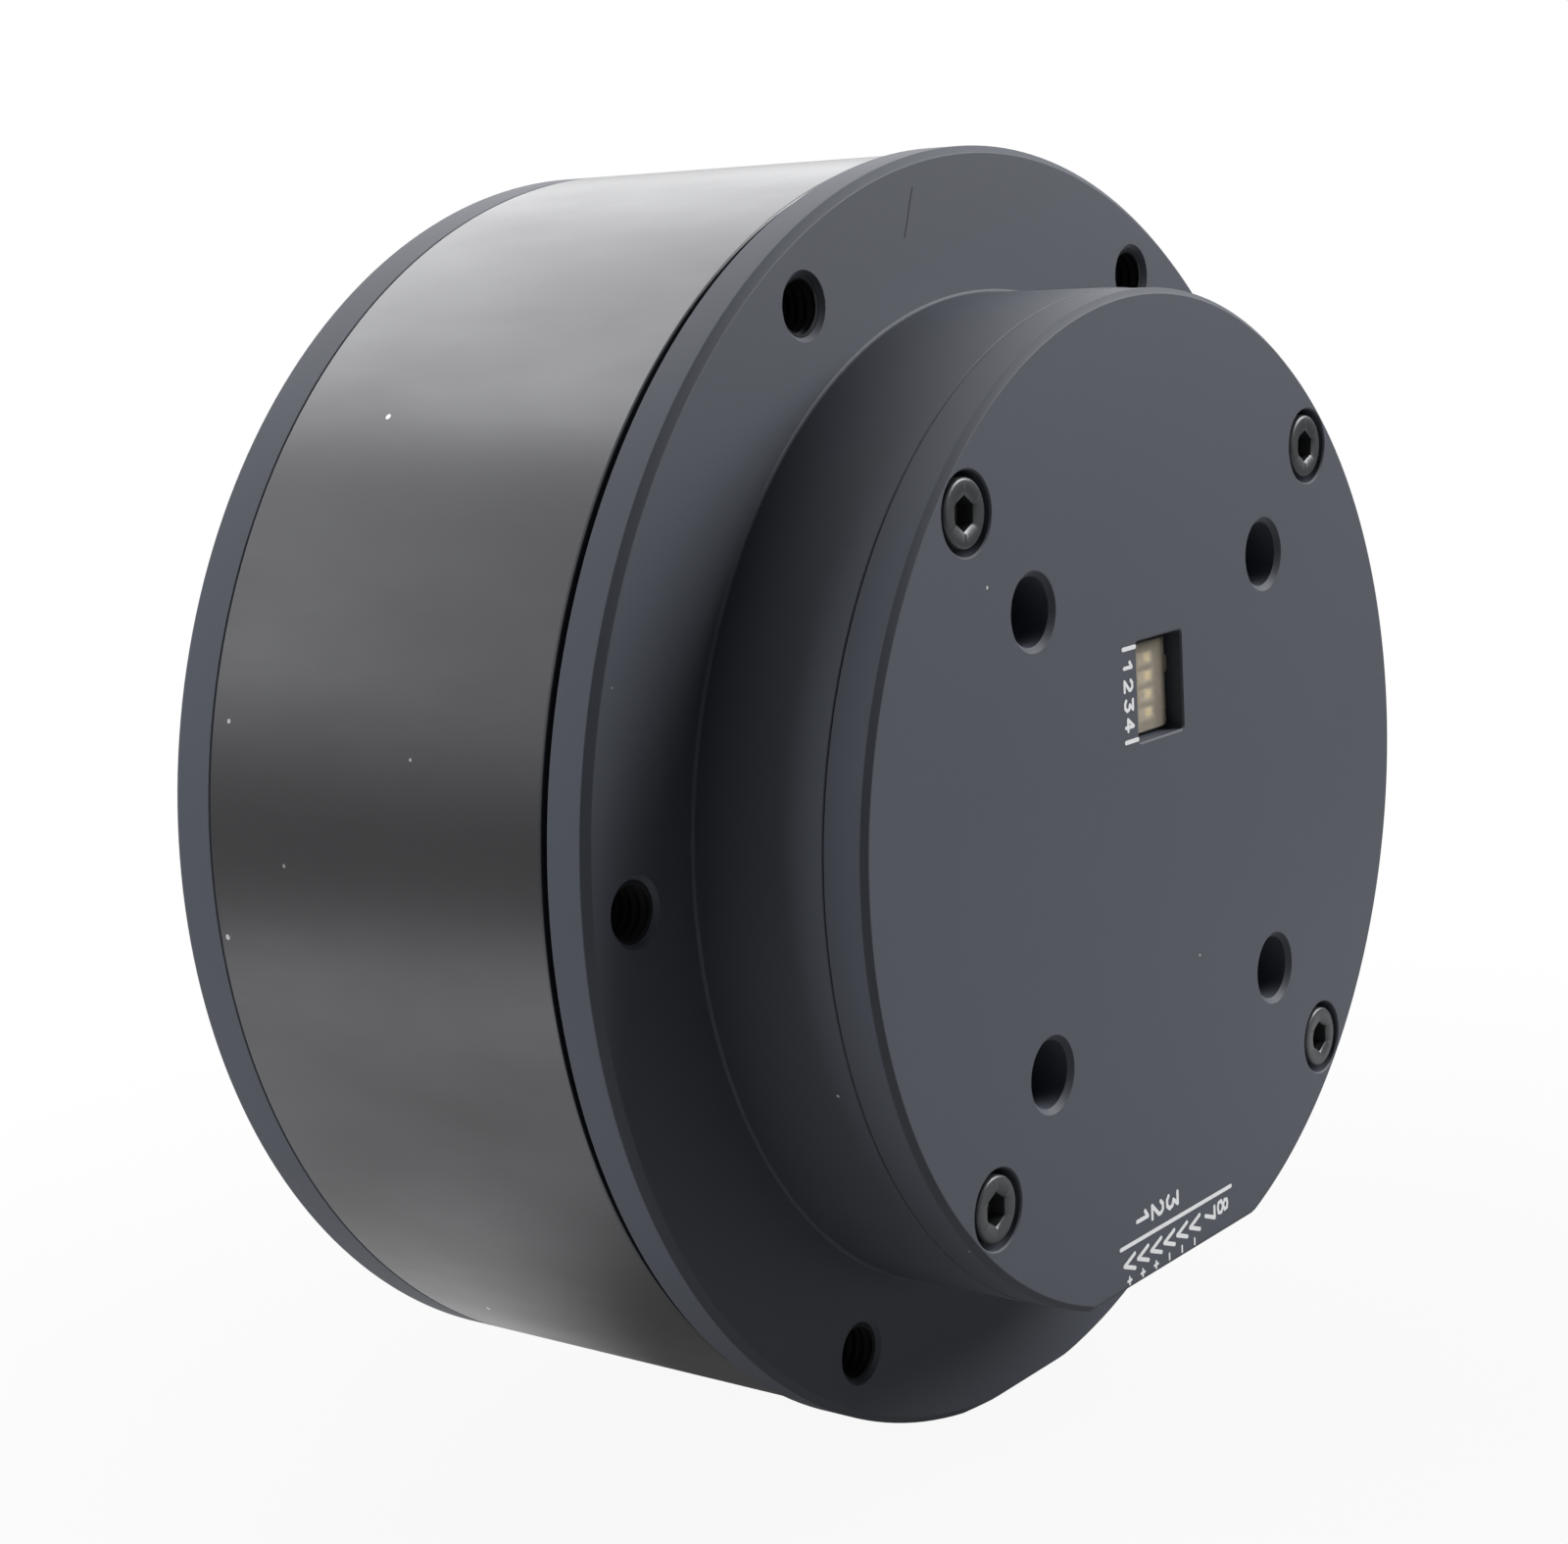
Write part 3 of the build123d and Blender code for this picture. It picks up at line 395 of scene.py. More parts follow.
steel = {"colour": (0.17, 0.172, 0.18), "roughness": 0.3, "metallic": 1.0, "spread": 0.05,
         "roughSpread": 0.05, "grainScale": 2600.0, "cloudScale": 40.0, "bump": 0.08}
steelDust = {"scale": 170.0, "size": 0.035, "share": 0.6, "dustColour": (0.7, 0.7, 0.7, 1)}
steelSmears = {"Scale": 34.0, "Stretch": 0.35}
smearTint = (0.74, 0.73, 0.72, 1)
smearRoughening = 0.12
blackenedSteel, tree, shader, grain = newFinish("blackenedSteel", **steel)
smears = placeGroup(tree, smearGroup, **steelSmears)
smearMix = addNode(tree, "ShaderNodeMix", data_type="RGBA", blend_type="MULTIPLY")
tree.links.new(smears.outputs[0], smearMix.inputs[0])
tree.links.new(grain.outputs["Colour"], smearMix.inputs[6])
smearMix.inputs[7].default_value = smearTint
addDust(tree, shader, smearMix.outputs[2], **steelDust)
smearRough = mathNode(tree, "MULTIPLY", smears.outputs[0], smearRoughening)
tree.links.new(mathNode(tree, "ADD", grain.outputs["Roughness"], smearRough), shader.inputs["Roughness"])

screwBlack = newFinish("screwBlack", (0.075, 0.078, 0.082), 0.38, metallic=0.6, spread=0.12, bump=0.1)[0]
threadBlack = newFinish("threadBlack", (0.012, 0.013, 0.015), 0.65, spread=0.1, bump=0.1,
                        Specular_IOR_Level=0.15)[0]
legendWhite = newFinish("legendWhite", (0.84, 0.85, 0.86), 0.6, spread=0.12, grainScale=9000.0, bump=0.1)[0]
darkPlastic = newFinish("darkPlastic", (0.05, 0.045, 0.035), 0.5, spread=0.1)[0]
sliderNylon = newFinish("sliderNylon", (0.98, 0.8, 0.3), 0.45, spread=0.04)[0]
amberFilm = newFinish("amberFilm", (0.9, 0.8, 0.64), 0.25, spread=0.22, cloudScale=900.0,
                      Alpha=0.36, bump=0.3, bumpDistance=0.00005)[0]
headerNylon = newFinish("headerNylon", (0.72, 0.7, 0.62), 0.42, spread=0.04)[0]
giltPin = newFinish("giltPin", (0.83, 0.62, 0.25), 0.22, metallic=1.0, spread=0.05)[0]
boardGreen = newFinish("boardGreen", (0.02, 0.11, 0.06), 0.35, spread=0.15, cloudScale=300.0)[0]
chipEpoxy = newFinish("chipEpoxy", (0.025, 0.025, 0.027), 0.55, spread=0.2, bump=0.2)[0]
padSilicone = newFinish("padSilicone", (0.3, 0.36, 0.46), 0.75, spread=0.1)[0]
drawnCan = newFinish("drawnCan", (0.78, 0.78, 0.79), 0.28, metallic=1.0, spread=0.04)[0]
laminations = newFinish("laminations", (0.36, 0.36, 0.38), 0.45, metallic=1.0, spread=0.2,
                        grainScale=2500.0)[0]
copperEnamel = newFinish("copperEnamel", (0.62, 0.2, 0.07), 0.28, metallic=0.8, spread=0.15,
                         cloudScale=500.0)[0]
whiteNylon = newFinish("whiteNylon", (0.8, 0.8, 0.75), 0.5, spread=0.04)[0]
redSleeve = newFinish("redSleeve", (0.42, 0.04, 0.03), 0.5, spread=0.08)[0]
groundSteel = newFinish("groundSteel", (0.6, 0.6, 0.62), 0.24, metallic=1.0, spread=0.05,
                        grainScale=7000.0)[0]
pressedBrass = newFinish("pressedBrass", (0.68, 0.5, 0.22), 0.3, metallic=1.0, spread=0.06)[0]
nickelPlate = newFinish("nickelPlate", (0.7, 0.69, 0.66), 0.2, metallic=1.0, spread=0.05)[0]
print("finishes made")

carried = {
    "board_screws": groundSteel,
    "driver_board": boardGreen,
    "mosfets": chipEpoxy,
    "thermal_pads": padSilicone,
    "bulk_capacitors": drawnCan,
    "microcontroller": chipEpoxy,
    "gate_driver": chipEpoxy,
    "position_sensor": chipEpoxy,
    "dip_switch_body": darkPlastic,
    "dip_slider_1": sliderNylon,
    "dip_slider_2": sliderNylon,
    "dip_slider_3": sliderNylon,
    "dip_slider_4": sliderNylon,
    "power_connector": headerNylon,
    "power_pins": giltPin,
    "signal_connector": headerNylon,
    "signal_pins": giltPin,
    "stator_core": laminations,
    "stator_windings": copperEnamel,
    "rear_insulator": whiteNylon,
    "front_insulator": whiteNylon,
    "phase_leads": redSleeve,
    "rotor_shaft": groundSteel,
    "shaft_retaining_ring": screwBlack,
    "magnet_holder": pressedBrass,
    "encoder_magnet": nickelPlate,
    "rotor_magnets": nickelPlate,
    "bearing_outer_ring": groundSteel,
    "bearing_inner_ring": groundSteel,
    "bearing_rollers": groundSteel,
    "bearing_spacers": whiteNylon,
    "bearing_retainer": screwBlack,
}
for name, material in carried.items():
    mesh = nodes[name].data
    mesh.materials.clear()
    mesh.materials.append(material)
    shadeByAngle(mesh, nodeSmoothUpTo)
print("carried nodes finished")


evenWeight = 80  # how strongly a broad face rules the shading at its edges


# Keeps the broad flat faces evenly shaded beside their fine chamfers.
def evenShading(piece):
    modifier = piece.modifiers.new("evenShading", "WEIGHTED_NORMAL")
    modifier.keep_sharp = True
    modifier.weight = evenWeight


def dress(piece, material, body, slotName, *replaced):
    piece.data.materials.clear()
    piece.data.materials.append(material)
    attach(piece, body)
    if replaced:
        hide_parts(*replaced)


base = {
    "flange": 45.0, "flangeFlat": 44.25, "rimFront": 3.2,
    "rearChamfer": 0.5, "frontChamfer": 0.15, "soft": 0.06,
    "boss": 35.0, "bossFlat": 33.0, "bossBore": 32.2, "boreFlat": 31.2, "seam": -10.0, "seamEdge": 0.12,
    "rootFillet": 0.25, "floorRear": 0.6, "floorInside": 1.2, "tubeBore": 15.5,
    "holeCircle": 40.65, "thread": 2.0, "mouth": 2.3, "holeDepth": 5.0,
    "pillarCircle": 21.6, "pillar": 3.4, "pillarBore": 2.0, "pillarDepth": 9.0,
    "lugCircle": 31.6, "lug": 3.3, "lugBore": 1.25, "lugDepth": 6.5,
    "postCircle": 27.0, "post": 2.3, "postRear": -5.0, "postBore": 0.85, "postDepth": 4.5,
    "padCircle": 19.45, "padWidth": 7.7, "padHeight": 13.9, "padRear": -3.5,
    "ribCircle": 22.1, "ribWidth": 2.8, "ribHeight": 2.2, "ribRear": 2.6, "ribFront": 16.2,
    "leadTurn": 70, "leadCircle": 29.2, "leadWidth": 2.4, "leadHeight": 10.6, "slotPast": 0.3,
    # radius and place of each corner of the stator's seat and of the bearing's tube with its groove
    "corners": (
        (27.6, 3.2), (27.6, 6.6), (26.0, 6.6), (26.0, 29.4), (23.2, 29.4),
        (23.2, 3.2), (21.0, 3.2), (21.0, 28.9), (18.0, 28.9), (18.0, 28.6),
        (18.6, 28.6), (18.6, 27.5), (18.0, 27.5), (18.0, 19.5), (15.5, 19.5),
    ),
    # width, height and rear of the block that cuts the flange's small flat
    "flatCut": (60.0, 10.0, -0.5),
    # width, height, rear, front and centre of the openings for the headers
    "openings": ((17.1, 7.0, -5.15, -0.45, (0, -30.5)), (7.1, 7.0, -11.0, -6.45, (-3.0, -30.5))),
}


def makeBase():
    b = base
    flange, chamfer, soft = b["flange"], b["rearChamfer"], b["soft"]
    wall = b["boss"] - b["bossFlat"]
    rings = [shaftRing(b["bossBore"], b["seam"], b["boreFlat"])]
    edge = b["seamEdge"]
    for i in range(4):
        a = math.radians(30 * i)
        r = b["boss"] - edge + edge * math.sin(a)
        rings.append(shaftRing(r, b["seam"] + edge - edge * math.cos(a), r - wall))
    fillet = b["rootFillet"]
    for i in range(5):
        a = math.radians(22.5 * i)
        r = b["boss"] + fillet - fillet * math.cos(a)
        rings.append(shaftRing(r, -fillet + fillet * math.sin(a), r - wall))
    steps = [
        (flange - chamfer - soft, 0),
        (flange - chamfer + soft * softShare, soft * softShare),
        (flange - soft * softShare, chamfer - soft * softShare),
        (flange, chamfer + soft),
        (flange, b["rimFront"] - b["frontChamfer"]),
        (flange - b["frontChamfer"], b["rimFront"]),
        *b["corners"],
        (b["tubeBore"], b["floorRear"]),
    ]
    rings += [shaftRing(r, y) for r, y in steps]
    rings.append(shaftRing(b["bossBore"], b["floorRear"], b["boreFlat"]))
    piece = makePiece("mountingBase", [(rings, True)])

    lugs = polar(b["lugCircle"], 4, 45)
    pillars = polar(b["pillarCircle"], 4, 45)
    posts = polar(b["postCircle"], 4)[:3]
    inside = b["floorInside"]
    added = [roundTool(b["lug"], b["seam"], inside, centre, lugCount) for centre in lugs]
    added += [roundTool(b["pillar"], b["seam"], inside, centre, lugCount) for centre in pillars]
    added += [roundTool(b["post"], b["postRear"], inside, centre, smallCount) for centre in posts]
    for centre, turn in zip(polar(b["padCircle"], 4), (0, 90, 180)):
        added.append(boxTool(b["padWidth"], b["padHeight"], b["padRear"], inside, centre, turn))
    for centre, turn in zip(polar(b["ribCircle"], 6), range(0, 360, 60)):
        added.append(boxTool(b["ribWidth"], b["ribHeight"], b["ribRear"], b["ribFront"], centre, turn))
    combine(piece, makePiece("added", added), "UNION")

    cut = []
    for centre in polar(b["holeCircle"], 6):
        cut.append(mouthedTool(b["thread"], b["mouth"], 0, b["holeDepth"], centre, -1, fineCount))
    rear = b["seam"] - past
    for centre in pillars:
        cut.append(roundTool(b["pillarBore"], rear, b["seam"] + b["pillarDepth"], centre))
    for centre in lugs:
        cut.append(roundTool(b["lugBore"], rear, b["seam"] + b["lugDepth"], centre, smallCount))
    for centre in posts:
        end = b["postRear"] + b["postDepth"]
        cut.append(roundTool(b["postBore"], b["postRear"] - past, end, centre, tinyCount))
    slotFront = b["rimFront"] + b["slotPast"]
    width, height, start = b["flatCut"]
    cut.append(boxTool(width, height, start, slotFront, (0, -b["flangeFlat"] - height / 2)))
    leadTurn = math.radians(b["leadTurn"])
    leadCentre = (b["leadCircle"] * math.cos(leadTurn), b["leadCircle"] * math.sin(leadTurn))
    cut.append(boxTool(b["leadWidth"], b["leadHeight"], b["floorRear"] - b["slotPast"], slotFront,
                       leadCentre, b["leadTurn"]))
    cut += [boxTool(*opening) for opening in b["openings"]]
    combine(piece, makePiece("cut", cut), "DIFFERENCE")
    return piece


mountingBase = makeBase()
evenShading(mountingBase)
dress(mountingBase, blackAnodised, "stator", "black_anodised", "mounting_base")
print("mounting base made:", len(mountingBase.data.polygons), "faces")

cover = {
    "radius": 34.9, "flat": 33.0, "seam": -10.0, "face": -13.088, "chamfer": 0.4, "soft": 0.05,
    "screwCircle": 31.6, "screwBore": 2.7, "boreDepth": 2.4, "boreEdge": 0.1, "screwHole": 1.4,
    "holeCircle": 21.6, "hole": 2.3, "mouth": 2.66, "holeDepth": 4.2,
    "window": (6.0, 6.9), "windowCentre": (0.2, 8.08), "windowCorner": 0.3, "windowEdge": 0.12,
}


def makeCover():
    c = cover
    wall = c["radius"] - c["flat"]
    soft = c["soft"]
    steps = [
        (c["radius"] - soft, c["seam"]),
        (c["radius"], c["seam"] - soft),
        (c["radius"], c["face"] + c["chamfer"] + soft),
        (c["radius"] - soft * softShare, c["face"] + c["chamfer"] - soft * softShare),
        (c["radius"] - c["chamfer"] + soft * softShare, c["face"] + soft * softShare),
        (c["radius"] - c["chamfer"] - soft, c["face"]),
    ]
    piece = makePiece("rearCover", [([shaftRing(r, y, r - wall) for r, y in steps], False)])
    cut = []
    face = c["face"]
    edge = c["boreEdge"]
    bore = c["screwBore"]
    floor = face + c["boreDepth"]
    for centre in polar(c["screwCircle"], 4, 45):
        cut.append((
            [
                holeRing(bore + edge + past, face - past, centre, fineCount),
                holeRing(bore + edge, face, centre, fineCount),
                holeRing(bore, face + edge, centre, fineCount),
                holeRing(bore, floor, centre, fineCount),
                holeRing(c["screwHole"], floor, centre, fineCount),
                holeRing(c["screwHole"], c["seam"] + past, centre, fineCount),
            ],
            False,
        ))
    for centre in polar(c["holeCircle"], 4, 45):
        cut.append(mouthedTool(c["hole"], c["mouth"], face, c["holeDepth"], centre, -1, fineCount))
    width, height = c["window"]
    e = c["windowEdge"]
    corner = c["windowCorner"]
    centre = c["windowCentre"]
    cut.append((
        [
            rectRing(width + 2 * (e + past), height + 2 * (e + past), corner + e + past,
                     face - past, centre),
            rectRing(width + 2 * e, height + 2 * e, corner + e, face, centre),
            rectRing(width, height, corner, face + e, centre),
            rectRing(width, height, corner, c["seam"] + past, centre),
        ],
        False,
    ))
    combine(piece, makePiece("cut", cut), "DIFFERENCE")
    return piece


rearCover = makeCover()
evenShading(rearCover)
dress(rearCover, blackAnodised, "stator", "black_anodised", "rear_cover")
print("rear cover made:", len(rearCover.data.polygons), "faces")

drum = {"radius": 44.7, "bore": 41.4, "rear": 3.9, "front": 33.2, "edge": 0.15}


def makeDrum():
    d = drum
    e = d["edge"]
    rings = [shaftRing(d["bore"], d["rear"])]
    for i in range(4):
        a = math.radians(30 * i)
        rings.append(shaftRing(d["radius"] - e + e * math.sin(a), d["rear"] + e - e * math.cos(a)))
    for i in range(4):
        a = math.radians(30 * i)
        rings.append(shaftRing(d["radius"] - e + e * math.cos(a), d["front"] - e + e * math.sin(a)))
    rings.append(shaftRing(d["bore"], d["front"]))
    return makePiece("rotorYoke", [(rings, True)])


rotorYoke = makeDrum()
evenShading(rotorYoke)
dress(rotorYoke, blackenedSteel, "rotor", "blackened_steel", "rotor_yoke")

cap = {
    "radius": 44.7, "chamfer": 0.55, "soft": 0.06, "face": 36.9, "rimRear": 33.2, "rimEdge": 0.1,
    "pilot": 13.0, "pilotFloor": 35.4, "pilotEdge": 0.2,
    "holeCircle": 18.0, "thread": 2.0, "mouth": 2.3, "threadDepth": 4.8,
    "screwCircle": 7.0, "screwBore": 3.0, "boreDepth": 2.2, "boreEdge": 0.1,
    "screwHole": 1.7, "holeRear": 30.0,
    # radius and place of each corner on the side that faces the drum
    "corners": ((41.38, 33.2), (41.38, 31.6), (38.58, 31.6), (38.58, 33.2),
                (22.0, 33.2), (22.0, 30.4), (5.02, 30.4), (5.02, 31.92)),
}


def makeCap():
    c = cap
    rim, face, chamfer, soft = c["radius"], c["face"], c["chamfer"], c["soft"]
    steps = [
        (c["pilot"], c["pilotFloor"]),
        (c["pilot"], face - c["pilotEdge"]),
        (c["pilot"] + c["pilotEdge"], face),
        (rim - chamfer - soft, face),
        (rim - chamfer + soft * softShare, face - soft * softShare),
        (rim - soft * softShare, face - chamfer + soft * softShare),
        (rim, face - chamfer - soft),
        (rim, c["rimRear"] + c["rimEdge"]),
        (rim - c["rimEdge"], c["rimRear"]),
        *c["corners"],
    ]
    piece = makePiece("rotorCap", [([shaftRing(r, y) for r, y in steps], False)])
    cut = []
    for centre in polar(c["holeCircle"], 6):
        cut.append(mouthedTool(c["thread"], c["mouth"], face, c["threadDepth"], centre, 1))
    bore = c["screwBore"]
    edge = c["boreEdge"]
    top = c["pilotFloor"]
    floor = top - c["boreDepth"]
    for centre in polar(c["screwCircle"], 4, 45):
        cut.append((
            [
                holeRing(bore + edge, top + past / 2, centre),
                holeRing(bore + edge, top, centre),
                holeRing(bore, top - edge, centre),
                holeRing(bore, floor, centre),
                holeRing(c["screwHole"], floor, centre),
                holeRing(c["screwHole"], c["holeRear"], centre),
            ],
            False,
        ))
    combine(piece, makePiece("cut", cut), "DIFFERENCE")
    return piece


rotorCap = makeCap()
evenShading(rotorCap)
dress(rotorCap, blackAnodised, "rotor", "black_anodised", "rotor_cap")
print("rotor drum and cap made")

coverScrew = {"head": 2.25, "height": 2.3, "top": -13.0, "edge": 0.22, "socket": 2.0, "socketDepth": 1.3,
              "shank": 1.2, "length": 6.0, "turn": (12.0, 30.0), "out": -1}
shaftScrew = {"head": 2.75, "height": 2.0, "top": 35.2, "edge": 0.2, "socket": 2.5, "socketDepth": 1.2,
              "shank": 1.45, "length": 9.0, "turn": (0.0, 60.0), "out": 1}
screwShape = {"point": 0.1, "pointDepth": 0.35, "mouthDepth": 0.12, "mouthOut": 0.26,
              "seatEdge": 0.05, "tip": 0.25}


# A socket head cap screw as one shell, from the socket's floor out over the head
# and down to the shank's end.
def screwShell(s, centre, turn):
    w = screwShape
    o = s["out"]
    top = s["top"]
    e = s["edge"]
    depth = s["socketDepth"]
    rings = [
        holeRing(s["socket"] * w["point"], top - o * (depth + w["pointDepth"]), centre),
        hexRing(s["socket"], top - o * depth, centre, turn),
        hexRing(s["socket"], top - o * w["mouthDepth"], centre, turn),
        holeRing(s["socket"] * 0.5 + w["mouthOut"], top, centre, turn=turn),
    ]
    for i in range(5):
        a = math.radians(22.5 * i)
        radius = s["head"] - e + e * math.sin(a)
        rings.append(holeRing(radius, top - o * (e - e * math.cos(a)), centre, turn=turn))
    seat = top - o * s["height"]
    end = seat - o * s["length"]
    for radius, y in (
        (s["head"], seat + o * w["seatEdge"]),
        (s["head"] - w["seatEdge"], seat),
        (s["shank"], seat),
        (s["shank"], end + o * w["tip"]),
        (s["shank"] - w["tip"], end),
    ):
        rings.append(holeRing(radius, y, centre, turn=turn))
    return (rings, False)


turns = random.Random(5)
coverScrews = makePiece("coverScrews", [
    screwShell(coverScrew, centre, turns.uniform(*coverScrew["turn"]))
    for centre in polar(cover["screwCircle"], 4, 45)
])
dress(coverScrews, screwBlack, "stator", "black_screw", "cover_screws")
shaftScrews = makePiece("shaftScrews", [
    screwShell(shaftScrew, centre, turns.uniform(*shaftScrew["turn"]))
    for centre in polar(cap["screwCircle"], 4, 45)
])
dress(shaftScrews, screwBlack, "rotor", "black_screw", "shaft_screws")

thread = {"major": 2.0, "minor": 1.66, "pitch": 0.7, "aroundCount": 32, "stepsPerTurn": 8,
          "fit": 0.01, "root": 0.03, "slope": 1.5, "shift": 0.25, "smoothAngle": 60.0}


# A sleeve that lines a bore with a right-hand thread's ridges, from one place to another along the shaft.
def threadShell(start, end, centre):
    t = thread
    count = t["aroundCount"]
    total = max(2, int(abs(end - start) / t["pitch"] * t["stepsPerTurn"]))
    outside = t["major"] - t["fit"]
    height = t["major"] - t["root"] - t["minor"]
    rings = [holeRing(outside, end, centre, count), holeRing(outside, start, centre, count)]
    for j in range(total + 1):
        y = start + (end - start) * j / total
        ring = []
        for i in range(count):
            phase = (y / t["pitch"] - i / count) % 1.0
            ridge = abs(2 * phase - 1)
            r = t["minor"] + height * min(1.0, max(0.0, ridge * t["slope"] - t["shift"]))
            a = 2 * math.pi * i / count
            ring.append((centre[0] + r * math.cos(a), y, centre[1] + r * math.sin(a)))
        rings.append(ring)
    return (rings, True)


threadedBores = {
    "flangeThreads": {"start": 0.32, "end": 3.1, "body": "stator",
                      "centres": polar(base["holeCircle"], 6)},
    "pillarThreads": {"start": -9.7, "end": -1.3, "body": "stator",
                      "centres": polar(base["pillarCircle"], 4, 45)},
    "outputThreads": {"start": 32.4, "end": 36.55, "body": "rotor",
                      "centres": polar(cap["holeCircle"], 6)},
}
for name, bores in threadedBores.items():
    sleeves = [threadShell(bores["start"], bores["end"], centre) for centre in bores["centres"]]
    dress(makePiece(name, sleeves, thread["smoothAngle"]), threadBlack, bores["body"], "black_anodised")
print("screws and threads made")

moulded = {"nodes": ("dip_switch_body", "power_connector", "signal_connector"), "edge": 0.06, "segments": 2}
for name in moulded["nodes"]:
    bevel = nodes[name].modifiers.new("edges", "BEVEL")
    bevel.width = moulded["edge"] * mm
    bevel.segments = moulded["segments"]
    bevel.limit_method = "ANGLE"

tape = {"rear": -11.98, "front": -11.9, "width": 5.0, "height": 6.1, "centre": (0.25, 8.03),
        "tabOut": 0.3, "tabHeight": 1.3, "tabMiddle": 9.23, "waver": 0.05, "rumple": 0.03,
        "across": 30, "up": 36, "smoothAngle": 40.0}


# The film over the sliders: a thin sheet with a rumpled rear side, a wavy right edge and a tab.
def makeTape():
    t = tape
    draw = random.Random(11)
    across, up = t["across"], t["up"]
    cx, cz = t["centre"]
    points = []
    for side in (t["rear"], t["front"]):
        for j in range(up + 1):
            z = cz - t["height"] / 2 + t["height"] * j / up
            tab = t["tabOut"] if abs(z - t["tabMiddle"]) < t["tabHeight"] / 2 else 0.0
            right = cx + t["width"] / 2 + tab - draw.uniform(0.0, t["waver"])
            for i in range(across + 1):
                x = cx - t["width"] / 2 + (right - cx + t["width"] / 2) * i / across
                lift = 0.0 if side == t["front"] else draw.uniform(0.0, t["rumple"])
                points.append((x * mm, (side + lift) * mm, z * mm))
    row = across + 1
    layer = row * (up + 1)
    faces = []
    for j in range(up):
        for i in range(across):
            a = j * row + i
            faces.append((a, a + 1, a + row + 1, a + row))
            faces.append((layer + a, layer + a + row, layer + a + row + 1, layer + a + 1))
    rim = list(range(row)) + [j * row + across for j in range(1, up + 1)]
    rim += [up * row + i for i in range(across - 1, -1, -1)] + [j * row for j in range(up - 1, 0, -1)]
    for k, a in enumerate(rim):
        b = rim[(k + 1) % len(rim)]
        faces.append((a, b, layer + b, layer + a))
    return meshPiece("sealTape", points, faces, t["smoothAngle"])


sealTape = makeTape()
dress(sealTape, amberFilm, "stator", "amber_tape", "dip_seal_tape")
print("switch film made")

marks = {"rise": 0.012, "step": 0.0025, "levels": 4, "sunk": 0.002, "endSteps": 8,
         "middle": (0.45, 0.5)}
glyphs = {
    "1": [[(0.15, 0.75), (0.5, 1.0), (0.5, 0.0)]],
    "2": [[(0.1, 0.8), (0.3, 1.0), (0.6, 1.0), (0.75, 0.8), (0.75, 0.62), (0.1, 0.0), (0.8, 0.0)]],
    "3": [[(0.1, 1.0), (0.75, 1.0), (0.42, 0.6), (0.7, 0.5), (0.78, 0.25), (0.6, 0.0), (0.25, 0.0),
           (0.08, 0.15)]],
    "4": [[(0.6, 0.0), (0.6, 1.0), (0.08, 0.3), (0.85, 0.3)]],
    "7": [[(0.08, 1.0), (0.78, 1.0), (0.35, 0.0)]],
    "8": [[(0.42, 0.54), (0.14, 0.7), (0.18, 0.94), (0.42, 1.0), (0.66, 0.94), (0.7, 0.7), (0.42, 0.54),
           (0.76, 0.36), (0.7, 0.06), (0.42, 0.0), (0.14, 0.06), (0.08, 0.36), (0.42, 0.54)]],
    "plus": [[(0.1, 0.5), (0.9, 0.5)], [(0.5, 0.1), (0.5, 0.9)]],
    "minus": [[(0.15, 0.5), (0.85, 0.5)]],
    "arrow": [[(0.0, 1.0), (0.5, 0.0), (1.0, 1.0)]],
}


# A stroke of even width along a line of points, as a thin raised ribbon on the cover's face.
# Strokes that meet differ a little in height, so that their tops don't lie in one plane.
def strokeShells(points, width, first=0):
    shells = []
    face = cover["face"]
    steps = marks["endSteps"]
    for index, ((x1, z1), (x2, z2)) in enumerate(zip(points, points[1:])):
        rise = marks["rise"] - marks["step"] * ((first + index) % marks["levels"])
        length = math.hypot(x2 - x1, z2 - z1)
        ux, uz = (x2 - x1) / length, (z2 - z1) / length
        h = width / 2
        outline = []
        start = math.atan2(uz, ux)
        for (x, z), turn in (((x2, z2), -math.pi / 2), ((x1, z1), math.pi / 2)):
            for i in range(steps + 1):
                a = start + turn + math.pi * i / steps
                outline.append((x + h * math.cos(a), z + h * math.sin(a)))
        low = [(x, face + marks["sunk"], z) for x, z in outline]
        top = [(x, face - rise, z) for x, z in outline]
        shells.append(([low, top], False))
    return shells


# A glyph turned so that its top points along +X, as the legend reads downwards.
def glyphShells(kind, centre, height, width, aspect):
    shells = []
    x, z = centre
    acrossMiddle, upMiddle = marks["middle"]
    for line in glyphs[kind]:
        points = []
        for u, v in line:
            points.append((x + (v - upMiddle) * height, z - (u - acrossMiddle) * height * aspect))
        shells += strokeShells(points, width, len(shells))
    return shells


legend = {
    "line": [(-7.7, -29.75), (7.7, -29.75)],
    "lineWidth": 0.3,
    # signs, their places along X, level, height, stroke width and width as a share of height
    "rows": (
        (("arrow",) * 6, (-6.6, -4.8, -3.0, -1.2, 0.6, 2.4), -31.0, 1.38, 0.3, 0.76),
        (("7",), (4.6,), -31.0, 1.3, 0.3, 0.9),
        (("8",), (6.45,), -30.9, 1.4, 0.26, 0.9),
        (("1", "2", "3"), (-4.7, -2.65, -0.6), -28.35, 1.45, 0.3, 0.92),
        (("plus",) * 3, (-6.68, -4.9, -3.09), -32.22, 0.6, 0.2, 1.0),
        (("minus",) * 3, (-1.25, 0.52, 2.3), -32.22, 0.6, 0.2, 1.0),
    ),
}


